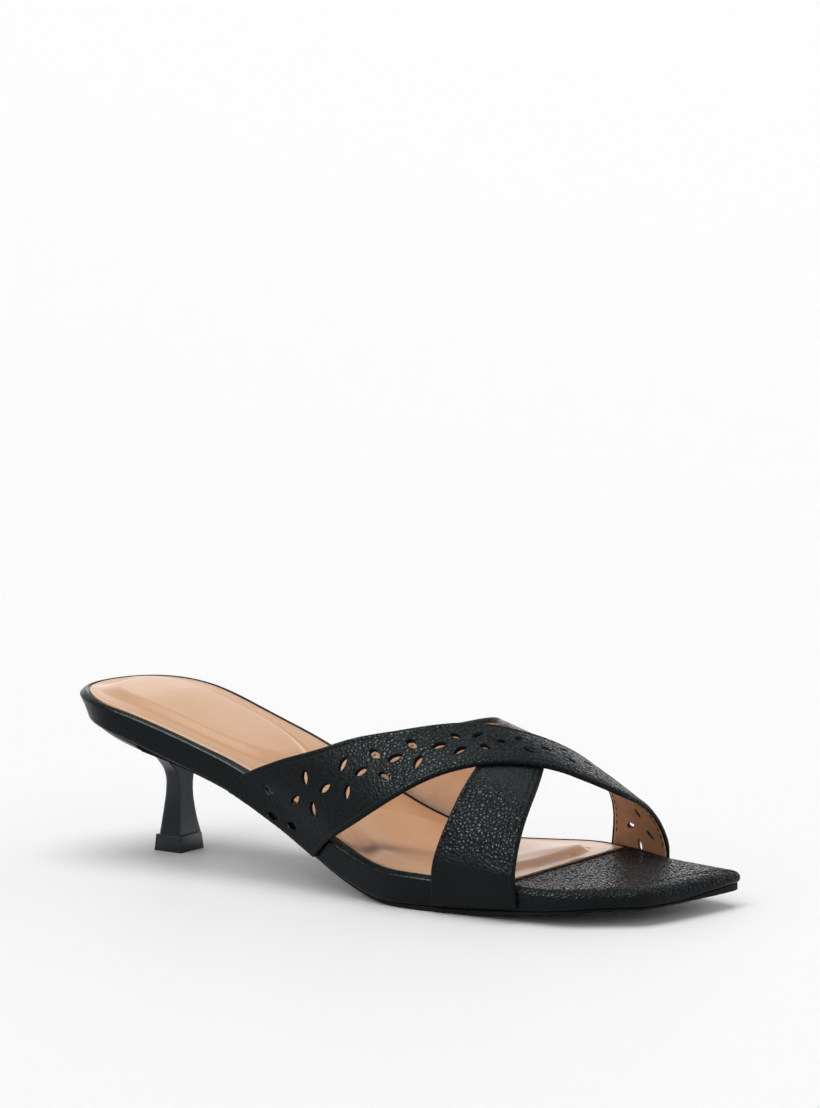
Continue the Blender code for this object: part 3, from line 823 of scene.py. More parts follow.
@dataclass(frozen=True)
class PebbledLeather:
    """Black tumbled leather, whose pebbles flatten where it is stretched, with painted shade in the
    cracks between them.
    """

    name: str = "pebbled_leather"
    colour: tuple = (0.0026, 0.0036, 0.0044)
    # painted shade: a darker colour in the cracks between pebbles
    crack_shade_colour: tuple = (0.0012, 0.0014, 0.0016)
    pebble: float = 1.30 * MM
    depth: float = 0.36 * MM
    dome: float = 0.62
    valley: float = 0.26
    fine: float = 0.12
    roughness: float = 0.28
    crack_roughness: float = 0.62

    def make(self) -> bpy.types.Material:
        """Build the material. It reads the attribute grain, from 0, stretched, to 1."""
        tree = Tree(self.name)
        place = tree.place()
        wobble = tree.add("TexNoise", {"Vector": place, "Scale": 420.0, "Detail": 2.0})
        wobble = wobble.outputs["Color"]
        bent = tree.add("VectorMath", {0: wobble, 3: 0.9 * self.pebble}, operation="SCALE").outputs[0]
        bent = tree.add("VectorMath", {0: place, 1: bent}).outputs[0]
        scale = 1 / self.pebble
        cells = tree.add("TexVoronoi", {"Vector": bent, "Scale": scale}, feature="SMOOTH_F1")
        cells.inputs["Smoothness"].default_value = 0.35
        edges = tree.add("TexVoronoi", {"Vector": bent, "Scale": scale}, feature="DISTANCE_TO_EDGE")
        fine = tree.add("TexVoronoi", {"Vector": bent, "Scale": 2.6 * scale})
        dome = tree.spread(cells.outputs[0], 1.0, 0.0, 0.1, 0.75)
        valley = tree.spread(edges.outputs[0], 0.0, 1.0, 0.0, 0.17)
        pebbles = tree.math("ADD", tree.math("MULTIPLY", dome, self.dome),
                            tree.math("MULTIPLY", valley, self.valley))
        pebbles = tree.math("ADD", pebbles, tree.spread(fine.outputs[0], self.fine, 0.0))
        patches = tree.noise(55.0, 3.0)
        grain = tree.painted("grain")
        share = tree.math("MULTIPLY", grain, tree.spread(patches, 0.55, 1.25, 0.3, 0.7))
        normal = tree.bump(pebbles, self.depth, share)
        normal = tree.bump(tree.noise(5200.0, 3.0), 0.018 * MM, 0.5, normal)
        normal = tree.bump(tree.noise(130.0, 2.0), 0.35 * MM, 0.35, normal)
        # painted shade: the cracks between pebbles get a darker colour, and a higher roughness, where
        # the grain is full
        cracks = tree.math("MULTIPLY", tree.spread(valley, 1.0, 0.0), grain)
        low = self.roughness
        gloss = tree.spread(tree.noise(700.0, 2.0), low - 0.06, low + 0.10, 0.3, 0.7)
        tree.set(Base_Color=tree.mix(cracks, self.colour, self.crack_shade_colour),
                 Roughness=tree.math("ADD", gloss, tree.math("MULTIPLY", cracks, self.crack_roughness)),
                 Normal=normal, Specular_IOR_Level=0.12)
        tree.set(Specular_Tint=(0.84, 0.97, 1.0, 1.0))
        return tree.material


@dataclass(frozen=True)
class SockLeather:
    """Smooth tan leather over foam, with a satin surface, a paler cut edge and painted shade."""

    name: str = "sock_leather"
    colour: tuple = (0.620, 0.340, 0.178)
    light: tuple = (0.680, 0.400, 0.228)
    border: tuple = (0.590, 0.325, 0.168)
    # painted shade: the colour mixed in where the crease and the straps shade the sock and the straps
    # are reflected in it
    dark: tuple = (0.200, 0.095, 0.050)
    cut: tuple = (0.780, 0.560, 0.330)
    roughness: float = 0.30
    border_share: float = 0.55

    def make(self) -> bpy.types.Material:
        """Build the material. It reads the attributes border, cut and shade."""
        tree = Tree(self.name)
        cloud = tree.spread(tree.noise(26.0, 3.0), 0.0, 1.0, 0.35, 0.68)
        border = tree.math("MULTIPLY", tree.painted("border"), self.border_share)
        colour = tree.mix(border, tree.mix(cloud, self.colour, self.light), self.border)
        colour = tree.mix(tree.painted("cut"), colour, self.cut)
        # painted shade and painted reflection of the straps, read from the shade attribute
        colour = tree.mix(tree.painted("shade"), colour, self.dark)
        normal = tree.bump(tree.noise(900.0, 2.0), 0.010 * MM, 0.4)
        low = self.roughness
        gloss = tree.spread(tree.noise(90.0, 1.0), low - 0.02, low + 0.06, 0.2, 0.8)
        tree.set(Base_Color=colour, Roughness=gloss, Normal=normal, Specular_IOR_Level=0.4)
        tree.set(Sheen_Weight=0.12, Sheen_Roughness=0.4)
        return tree.material


@dataclass(frozen=True)
class LiningLeather:
    """Tan lining of the straps, matt, with a paler cut edge, in a lit and a shaded copy."""

    name: str = "lining_leather"
    # painted shade: these default colours are the darker, shaded copy of the lining, used on the
    # perforated strap
    colour: tuple = (0.520, 0.295, 0.165)
    dark: tuple = (0.440, 0.235, 0.125)
    cut: tuple = (0.720, 0.500, 0.270)

    def make(self) -> bpy.types.Material:
        """Build the material. It reads the attribute cut, 1 on the cut edge."""
        tree = Tree(self.name)
        cloud = tree.spread(tree.noise(160.0, 4.0, roughness=0.65), 0.0, 1.0, 0.35, 0.65)
        cut = tree.painted("cut")
        colour = tree.mix(cut, tree.mix(cloud, self.dark, self.colour), self.cut)
        normal = tree.bump(tree.noise(1500.0, 4.0), 0.05 * MM, 0.6)
        tree.set(Base_Color=colour, Roughness=0.62, Normal=normal, Specular_IOR_Level=0.35)
        return tree.material


@dataclass(frozen=True)
class Lacquer:
    """Glossy black lacquer of the heel, with faint moulding waves."""

    name: str = "heel_lacquer"
    colour: tuple = (0.0050, 0.0072, 0.0095)
    roughness: float = 0.26

    def make(self) -> bpy.types.Material:
        """Build the material."""
        tree = Tree(self.name)
        normal = tree.bump(tree.noise(120.0, 1.0), 0.05 * MM, 0.35)
        gloss = tree.spread(tree.noise(900.0, 2.0), self.roughness, self.roughness + 0.06)
        tree.set(Base_Color=(*self.colour, 1.0), Roughness=gloss, Normal=normal)
        tree.set(Coat_Weight=0.06, Coat_Roughness=0.10, Specular_IOR_Level=0.26)
        tree.set(Specular_Tint=(0.84, 0.95, 1.0, 1.0))
        return tree.material


@dataclass(frozen=True)
class BlackRubber:
    """Moulded black rubber of the outsole and the top piece."""

    name: str = "black_rubber"
    colour: tuple = (0.003, 0.003, 0.003)
    roughness: float = 0.60
    specular: float = 0.12
    grain: float = 0.02 * MM

    def make(self) -> bpy.types.Material:
        """Build the material."""
        tree = Tree(self.name)
        normal = tree.bump(tree.noise(2600.0, 3.0), self.grain, 0.7)
        gloss = tree.spread(tree.noise(300.0, 3.0), self.roughness - 0.08, self.roughness + 0.08)
        tree.set(Base_Color=(*self.colour, 1.0), Roughness=gloss, Normal=normal)
        tree.set(Specular_IOR_Level=self.specular)
        return tree.material


@dataclass(frozen=True)
class WaxedThread:
    """Black waxed sewing thread with its twist."""

    name: str = "waxed_thread"
    colour: tuple = (0.008, 0.008, 0.009)

    def make(self) -> bpy.types.Material:
        """Build the material."""
        tree = Tree(self.name)
        normal = tree.bump(tree.noise(6000.0, 1.0), 0.03 * MM, 0.8)
        tree.set(Base_Color=(*self.colour, 1.0), Roughness=0.5, Normal=normal)
        return tree.material


def finished(piece: bpy.types.Object, shift: Vector, material: bpy.types.Material,
             nodes: Sequence[str]) -> None:
    """Move a piece to the frame, dress it and hide the frame's nodes that it replaces.

    Args:
        piece: the object, built from the back of the seat.
        shift: from the back of the seat to the frame.
        material: its finish.
        nodes: nodes of the frame that it replaces.
    """
    piece.data.transform(Matrix.Translation(shift))
    piece.data.materials.clear()
    piece.data.materials.append(material)
    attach(piece, BODY)
    if nodes:
        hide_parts(*nodes)
    piece.data.calc_loop_triangles()
    log.info("%s: %d triangles", piece.name, len(piece.data.loop_triangles))


@dataclass
class Footbed:
    """The wrapped board: black leather pulled round its edge and over the toe.

    The wall stands up from a small round at the bottom, and leans in below at the back of the
    seat. Its upper round is tight along the sock and wide at the toe, where the leather is
    pulled over. A low rim stands beside the sock.
    """

    last: Last
    under_inset: float = 1.3 * MM
    under_height: float = 1.4 * MM
    side_inset: float = 1.1 * MM
    side_height: float = 1.2 * MM
    toe_inset: float = 5.0 * MM
    toe_height: float = 2.5 * MM
    rim_height: float = 0.70 * MM
    rim_place: float = 1.9 * MM
    rim_width: float = 0.7 * MM
    seat_bareness: float = 0.85
    back_lean: float = 3.2 * MM
    back_reach: float = 26.0 * MM
    wall_grain: float = 0.12
    grain_from: float = 0.70
    grain_reach: float = 0.06
    grain_drop: float = 3.4 * MM
    grain_fade: float = 1.6 * MM

    def rim(self, inset: np.ndarray, bare: np.ndarray) -> np.ndarray:
        """Return the rim's height at an inset from the wall, lower where the edge is bare."""
        bell = np.exp(-((inset - self.rim_place) / self.rim_width) ** 2)
        return self.rim_height * bell * (1 - bare)

    def rings(self, outline: Outline) -> np.ndarray:
        """Return the wall's rings, from the underside to the upper face.

        Args:
            outline: the footbed's outline.

        Returns:
            Rings of points.
        """
        x = outline.loop[:, 0]
        toe = self.last.at_toe(x)
        lean = self.back_lean * smoothstep(1 - x / self.back_reach)
        rings = []
        for angle in np.linspace(0, math.pi / 2, 8):
            loop = outline.inset(self.under_inset * (1 - math.sin(angle)) + lean)
            foot = self.last.wall_foot(loop[:, 0], loop[:, 1])
            rings.append(with_heights(loop, foot + self.under_height * (1 - math.cos(angle))))
        bare = np.maximum(toe, self.seat_bareness * self.last.outer_seat(x, outline.loop[:, 1]))
        inset_reach = self.side_inset + (self.toe_inset - self.side_inset) * toe
        drop_reach = self.side_height + (self.toe_height - self.side_height) * toe
        for angle in np.linspace(0, math.pi / 2, 15):
            inset = inset_reach * (1 - math.cos(angle))
            loop = outline.inset(inset)
            rise = self.rim(inset, bare) - drop_reach * (1 - math.sin(angle))
            rings.append(with_heights(loop, self.last.top(loop[:, 0]) + rise))
        for step in np.linspace(0.4, 2.4, 6) * MM:
            loop = outline.inset(inset_reach + step)
            rim = self.rim(inset_reach + step, bare)
            rings.append(with_heights(loop, self.last.top(loop[:, 0]) + rim))
        return np.array(rings)

    def build(self, shift: Vector, leather: bpy.types.Material) -> None:
        """Loft the wall and close it above and below.

        Args:
            shift: from the back of the seat to the frame.
            leather: its finish.
        """
        outline = Outline(self.last, 0.0, self.last.length, columns=34)
        rings = self.rings(outline)
        under = outline.cap(rings[0][:, :2])
        over = outline.cap(rings[-1][:, :2])
        foot = self.last.wall_foot(under[..., 0], under[..., 1])
        sheets = [band_of(rings), sheet_of("under", with_heights(under, foot)),
                  sheet_of("over", with_heights(over, self.last.top(over[..., 0])))]
        piece = closed_form("footbed_wrap", sheets)
        smooth(piece, 60.0)
        points = points_of(piece)
        along = points[:, 0] / self.last.length
        above = points[:, 2] - self.last.top(points[:, 0])
        on_top = smoothstep((above + self.grain_drop) / self.grain_fade)
        at_toe = smoothstep((along - self.grain_from) / self.grain_reach)
        paint(piece, "grain", self.wall_grain + (1 - self.wall_grain) * on_top * at_toe)
        finished(piece, shift, leather, ["footbed"])


@dataclass
class Outsole:
    """The thin black outsole from the heel's breast to the toe."""

    last: Last
    heel_front: float = 38.0 * MM
    setback: float = 0.8 * MM
    waist_setback: float = 3.0 * MM
    waist_thinning: float = 0.4
    bevel: float = 0.4 * MM
    seat_gap: float = 0.03 * MM

    def build(self, shift: Vector, rubber: bpy.types.Material) -> None:
        """Loft the outsole, flat on the floor under the ball.

        Args:
            shift: from the back of the seat to the frame.
            rubber: its finish.
        """
        start = self.heel_front + self.last.gap
        outline = Outline(self.last, start, self.last.length, columns=30)
        waist = np.clip(self.last.waisting(outline.loop[:, 0] / self.last.length), 0, 1)
        amounts = self.setback + (self.waist_setback - self.setback) * waist
        thickness = self.last.outsole_thickness * (1 - self.waist_thinning * waist)
        rings = []
        steps = ((1.0, 0.0, False), (0.3, 0.3, False), (0.0, 1.0, False),
                 (0.0, -1.0, True), (0.3, -0.3, True), (1.0, 0.0, True))
        for inset, height, from_top in steps:
            loop = outline.inset(amounts + inset * self.bevel)
            loop[:, 0] = np.maximum(loop[:, 0], start)
            whole = self.last.bottom(loop[:, 0])
            top = whole - self.last.sag(loop[:, 0], loop[:, 1]) - self.seat_gap
            low = np.maximum(whole - self.last.gap - thickness, 0.0)
            level = np.maximum(top, low + 2 * self.bevel) if from_top else low
            rings.append(with_heights(loop, level + height * self.bevel / 2))
        rings = np.array(rings)
        sheets = [band_of(rings)]
        for ring in (rings[0], rings[-1]):
            sheets.append(sheet_of("face", outline.cap(ring)))
        piece = closed_form("outsole_rubber", sheets)
        smooth(piece)
        finished(piece, shift, rubber, ["outsole"])


class Crease(NamedTuple):
    """A soft trough or ridge in the sock, between two places in its plan, in millimetres."""

    start: tuple[float, float]
    end: tuple[float, float]
    bow: float
    width: float
    height: float


class PadRow(NamedTuple):
    """Outer and inner boundary of a pad at one place along the foot, in millimetres."""

    along: float
    outer: float
    inner: float


class Shade(NamedTuple):
    """A painted shade on the sock, where the crease and the straps shade it and the straps are
    reflected in it: middle and half sizes in millimetres, turn and depth.
    """

    along: float
    across: float
    turn: float
    reach: float
    width: float
    depth: float


HEEL_PAD = (
    PadRow(8.0, -17.0, 13.5),
    PadRow(15.0, -18.0, 15.5),
    PadRow(25.0, -19.5, 17.0),
    PadRow(38.0, -20.0, 16.2),
    PadRow(54.0, -19.5, 15.5),
    PadRow(70.0, -18.5, 13.5),
    PadRow(87.0, -16.0, 9.0),
)

FOREFOOT_PAD = (
    PadRow(111.0, -13.0, -1.0),
    PadRow(115.0, -16.5, 4.5),
    PadRow(120.0, -19.5, 9.8),
    PadRow(131.0, -27.0, 16.0),
    PadRow(139.0, -32.2, 18.5),
    PadRow(150.0, -34.8, 21.5),
    PadRow(165.0, -34.0, 25.5),
    PadRow(183.0, -28.0, 31.0),
)


@dataclass(frozen=True)
class Pad:
    """A padded field of the sock: soft sides, a low crown and a crease round it."""

    rows: tuple
    roundness: float
    height: float = 1.50 * MM
    slope: float = 2.4 * MM
    crown: float = 0.40 * MM
    crease: float = 0.30 * MM
    crease_width: float = 0.55 * MM
    softness: float = 1.8
    shallow_from: float = -12.0 * MM
    shallow_reach: float = 10.0 * MM

    def inside(self, x: np.ndarray, y: np.ndarray) -> tuple[np.ndarray, np.ndarray]:
        """Return the reach from the pad's middle, and the distance inside its boundary.

        Args:
            x: places along the foot.
            y: places across the foot.

        Returns:
            Two arrays.
        """
        places = [row.along * MM for row in self.rows]
        low = SmoothCurve(places, [row.outer * MM for row in self.rows])(x)
        high = SmoothCurve(places, [row.inner * MM for row in self.rows])(x)
        half = np.maximum((high - low) / 2, MM)
        across = np.abs(y - (low + high) / 2) / half
        along = np.abs(2 * x - places[0] - places[-1]) / (places[-1] - places[0])
        reach = (along ** self.roundness + across ** self.roundness) ** (1 / self.roundness)
        softer = 1 + self.softness * smoothstep(((low + high) / 2 - y) / half)
        return reach, (1 - reach) * half / softer

    def raised(self, x: np.ndarray, y: np.ndarray) -> np.ndarray:
        """Return the padding's height over the flat sock.

        Args:
            x: places along the foot.
            y: places across the foot.

        Returns:
            Heights.
        """
        reach, inside = self.inside(x, y)
        shallow = smoothstep((y - self.shallow_from) / self.shallow_reach)
        crease = self.crease * shallow * np.exp(-(inside / self.crease_width) ** 2)
        dome = self.crown * np.clip(1 - reach ** 2, 0, 1)
        return self.height * smoothstep(inside / self.slope) + dome - crease


@dataclass
class Sock:
    """The padded tan sock: a flat rim, a heel cushion and a forefoot cushion."""

    last: Last
    length: float = 187.0 * MM
    setback: float = 3.4 * MM
    seat_reach: float = 1.6 * MM
    edge: float = 0.55 * MM
    edge_rounding: float = 0.30 * MM
    rim_groove: float = 0.16 * MM
    rim_groove_width: float = 0.35 * MM
    rim: float = 1.7 * MM
    border_height: float = 0.6 * MM
    cut_reach: float = 0.6 * MM
    side_cut: float = 0.5
    pads: tuple = (Pad(HEEL_PAD, 5.0), Pad(FOREFOOT_PAD, 9.0))
    creases: tuple = (
        Crease((120.5, -27.8), (134.5, -32.8), -0.3, 0.50, -0.55),
        Crease((119.5, -24.6), (132.0, -30.8), -0.4, 0.65, 0.32),
        Crease((119.0, -21.8), (131.0, -28.6), -0.4, 0.50, -0.22),
        Crease((123.0, -20.5), (139.0, -32.6), -0.6, 0.70, -0.62),
        Crease((131.5, -24.5), (137.5, -28.5), 0.0, 3.20, -0.50),
        Crease((140.0, -26.0), (158.0, -30.0), 0.0, 2.60, 0.40),
        Crease((172.0, -20.0), (179.0, 24.0), 1.5, 3.50, 0.35),
    )
    # painted shade: soft dark places beside the crease at the ball, where the straps shade the sock and
    # are reflected in it
    painted_shades: tuple = (
        Shade(132.5, -26.0, 0.7, 9.0, 3.4, 0.95),
        Shade(143.5, -18.0, 0.3, 14.0, 4.5, 0.42),
    )

    def surface(self, x: np.ndarray, y: np.ndarray) -> np.ndarray:
        """Return the height of the sock's upper face over its flat rim.

        Args:
            x: places along the foot.
            y: places across the foot.

        Returns:
            Heights.
        """
        raised = sum(pad.raised(x, y) for pad in self.pads)
        for crease in self.creases:
            start, end = np.array(crease.start) * MM, np.array(crease.end) * MM
            way = end - start
            length = np.linalg.norm(way)
            way = way / length
            share = ((x - start[0]) * way[0] + (y - start[1]) * way[1]) / length
            off = (y - start[1]) * way[0] - (x - start[0]) * way[1]
            off = (off - crease.bow * MM * 4 * share * (1 - share)) / (crease.width * MM)
            past = np.maximum(np.abs(share - 0.5) - 0.5, 0) * length / (2 * MM)
            raised = raised + crease.height * MM * np.exp(-off ** 2 - past ** 2)
        return raised

    def setbacks(self, x: np.ndarray, y: np.ndarray) -> np.ndarray:
        """Return how far the sock's edge stays inside the wall."""
        return self.setback - self.seat_reach * self.last.outer_seat(x, y)

    def inside_edge(self, x: np.ndarray, y: np.ndarray) -> np.ndarray:
        """Return the distance inside the sock's edge.

        Args:
            x: places along the foot.
            y: places across the foot.

        Returns:
            Distances, below zero outside.
        """
        outer = y + self.last.half_breadth(x, Side.OUTER)
        inner = self.last.half_breadth(x, Side.INNER) - y
        inside = np.minimum(outer, inner) - self.setbacks(x, y)
        return np.minimum(inside, x - self.setback)

    def rim_line(self, x: np.ndarray, y: np.ndarray) -> np.ndarray:
        """Return the pressed line that runs just inside the sock's edge."""
        off = (self.inside_edge(x, y) - self.rim) / self.rim_groove_width
        return -self.rim_groove * np.exp(-off ** 2)

    def painted_shading(self, x: np.ndarray, y: np.ndarray) -> np.ndarray:
        """Return how much painted shade darkens the leather, from 0 to 1.

        Args:
            x: places along the foot.
            y: places across the foot.

        Returns:
            Shares of the painted shade's colour.
        """
        total = np.zeros_like(x)
        for shade in self.painted_shades:
            off_x, off_y = x - shade.along * MM, y - shade.across * MM
            cosine, sine = math.cos(shade.turn), math.sin(shade.turn)
            lengthwise = (off_x * cosine + off_y * sine) / (shade.reach * MM)
            crosswise = (off_y * cosine - off_x * sine) / (shade.width * MM)
            total = total + shade.depth * np.exp(-lengthwise ** 2 - crosswise ** 2)
        return np.clip(total, 0, 1)

    def dressed(self, piece: bpy.types.Object) -> None:
        """Paint the flat border, the pale cut edge and the painted shade on the sock.

        Args:
            piece: the sock.
        """
        points = points_of(piece)
        x, y = points[:, 0], points[:, 1]
        padding = sum(pad.raised(x, y) for pad in self.pads)
        paint(piece, "border", 1 - smoothstep(padding / self.border_height))
        rise = points[:, 2] - self.last.top(x) - self.last.gap / 2
        front = x > self.length - MM
        at_edge = self.inside_edge(x, y) < self.cut_reach
        cut = (rise < self.edge - 0.5 * self.edge_rounding) * np.maximum(front, at_edge)
        paint(piece, "cut", cut * (self.side_cut + (1 - self.side_cut) * front))
        # painted shade and painted reflection of the straps
        paint(piece, "shade", self.painted_shading(x, y))

    def build(self, shift: Vector, leather: bpy.types.Material) -> None:
        """Loft the sock's edge and raise its cushions.

        Args:
            shift: from the back of the seat to the frame.
            leather: its finish.
        """
        outline = Outline(self.last, 0.0, self.length + self.setback, columns=130)
        setbacks = self.setbacks(outline.loop[:, 0], outline.loop[:, 1])
        rings = []
        for step in range(8):
            angle = max(step - 1, 0) / 6 * math.pi / 2
            loop = outline.inset(setbacks + self.edge_rounding * (1 - math.cos(angle)))
            rise = 0.0 if step == 0 else self.edge - self.edge_rounding * (1 - math.sin(angle))
            rings.append(with_heights(loop, self.last.top(loop[:, 0]) + self.last.gap / 2 + rise))
        wall = band_of(np.array(rings))
        under = outline.cap(rings[0])
        over = outline.cap(rings[-1])
        x, y = over[..., 0], over[..., 1]
        raised = self.surface(x, y) + self.rim_line(x, y)
        inside = np.ones_like(raised)
        inside[:, (0, -1)] = 0
        inside[(0, -1), :] = 0
        over[..., 2] += raised * inside
        piece = closed_form("insole_sock", [wall, sheet_of("under", under), sheet_of("over", over)])
        smooth(piece, 50.0)
        self.dressed(piece)
        finished(piece, shift, leather, ["insole"])


@dataclass
class Heel:
    """The waisted heel that spreads into the seat, with a flat breast, and its top piece."""

    last: Last
    front: float = 38.0 * MM
    setback: float = 1.8 * MM
    back_setback: float = 4.6 * MM
    neck_middle: float = 33.6 * MM
    neck_length: float = 6.6 * MM
    neck_width: float = 6.9 * MM
    tip_length: float = 11.4 * MM
    tip_width: float = 12.2 * MM
    tip_height: float = 5.5 * MM
    tip_bevel: float = 0.18 * MM
    tip_step: float = 0.35 * MM
    tip_gap: float = 0.08 * MM
    edge_bevel: float = 0.12 * MM
    lean_start: float = 0.5
    lean_reach: float = 0.4
    cup_start: float = 0.90
    cup_reach: float = 0.09
    breast_steps: int = 8
    sections_between: int = 8

    def ring(self, row: HeelSection, angles: np.ndarray) -> np.ndarray:
        """Return one section, from its back along the outer side and back along the inner one.

        Args:
            row: the section's form.
            angles: from 0 at the back to a quarter turn at the breast.

        Returns:
            Points, with the back twice.
        """
        depth = 1 - np.cos(angles)
        back = self.neck_middle - row.back * self.neck_length
        front = self.neck_middle + row.front * self.neck_length
        seat_x = self.back_setback + (self.front - self.back_setback) * depth
        taken = min(max(row.seat, 0.0), 1.0)
        x = back + (front - back) * depth
        x = x + (seat_x - x) * taken
        block = row.width * self.neck_width / 2 * (1 - (1 - depth) ** row.square) ** (1 / row.square)
        sides = []
        for side in (Side.OUTER, Side.INNER):
            seat = self.last.half_breadth(seat_x - self.back_setback, side) - self.setback
            seat = np.maximum(seat, 0) * (depth > 0)
            sides.append(np.column_stack([x, side.value * (block + (seat - block) * taken)]))
        plan = np.concatenate([sides[0], sides[1][::-1]])
        level = self.tip_height + self.tip_gap
        full = float(self.last.bottom(self.neck_middle)) - self.last.gap - level
        flat = level + full * row.height
        sloped = self.last.bottom(plan[:, 0]) - self.last.gap - full * (1 - row.height)
        leaning = min(max((row.height - self.lean_start) / self.lean_reach, 0.0), 1.0)
        cup = smoothstep(np.array((row.height - self.cup_start) / self.cup_reach))
        lifted = self.last.seat_lift(plan[:, 0]) * cup
        return with_heights(plan, flat + (sloped - flat) * leaning + lifted)

    def crosswise(self) -> np.ndarray:
        """Return the shares across the heel at which its breast and end faces have points."""
        return np.linspace(0, 1, self.breast_steps + 1)[None, :, None]

    def wall_of(self, rings: np.ndarray) -> bpy.types.Object:
        """Make the heel's wall, with as many steps across the breast as on the end faces.

        Args:
            rings: the heel's sections.

        Returns:
            The wall.
        """
        half = rings.shape[1] // 2
        outer, inner = rings[:, half - 1:half], rings[:, half:half + 1]
        breast = outer + (inner - outer) * self.crosswise()[:, 1:-1]
        return band_of(np.concatenate([rings[:, :half], breast, rings[:, half:]], axis=1))

    def build_body(self, shift: Vector, lacquer: bpy.types.Material) -> None:
        """Loft the heel from its top piece to the seat.

        Args:
            shift: from the back of the seat to the frame.
            lacquer: its finish.
        """
        angles = np.linspace(0, math.pi / 2, 41) ** 1.15 / (math.pi / 2) ** 0.15
        knots = [row.height for row in HEEL_SECTIONS]
        columns = [SmoothCurve(knots, [row[column] for row in HEEL_SECTIONS]) for column in range(1, 6)]
        between = self.sections_between
        steps = np.arange(between * (len(knots) - 1) + 1) / between
        heights = np.interp(steps, np.arange(len(knots)), knots)
        rings = []
        for height in heights:
            row = HeelSection(height, *(float(column(height)) for column in columns))
            rings.append(self.ring(row, angles))
        rings = np.array(rings)
        half = len(angles)
        ends = []
        for ring in (rings[0], rings[-1]):
            outer, inner = ring[:half, None], ring[half:][::-1][:, None]
            ends.append(sheet_of("end", outer + (inner - outer) * self.crosswise()))
        piece = closed_form("heel_body", [self.wall_of(rings), *ends])
        applied(piece, "BEVEL", width=self.edge_bevel, segments=2, limit_method="ANGLE",
                angle_limit=math.radians(50), use_clamp_overlap=True)
        smooth(piece, 40.0)
        finished(piece, shift, lacquer, ["heel"])

    def build_tip(self, shift: Vector, rubber: bpy.types.Material) -> None:
        """Shape the top piece from a cube that widens to the floor.

        Args:
            shift: from the back of the seat to the frame.
            rubber: its finish.
        """
        foot = HEEL_SECTIONS[0]
        top_length = (foot.front + foot.back) * self.neck_length + self.tip_step
        top_width = foot.width * self.neck_width + self.tip_step
        deselected()
        bpy.ops.mesh.primitive_cube_add(size=1.0, location=(0, 0, 0.5))
        tip = bpy.context.active_object
        tip.name = "heel_top_piece"
        bpy.ops.object.transform_apply(location=True, rotation=True, scale=True)
        bpy.ops.object.mode_set(mode="EDIT")
        form = bmesh.from_edit_mesh(tip.data)
        for vert in form.verts:
            above = vert.co.z > 0.5
            vert.co.x = self.neck_middle + vert.co.x * (top_length if above else self.tip_length)
            vert.co.y = vert.co.y * (top_width if above else self.tip_width)
            vert.co.z = self.tip_height if above else 0.0
        bmesh.update_edit_mesh(tip.data)
        bpy.ops.mesh.select_all(action="SELECT")
        bpy.ops.mesh.bevel(offset=self.tip_bevel, segments=2, profile=0.5, affect="EDGES")
        bpy.ops.object.mode_set(mode="OBJECT")
        smooth(tip, 40.0)
        finished(tip, shift, rubber, ["heel_tip"])


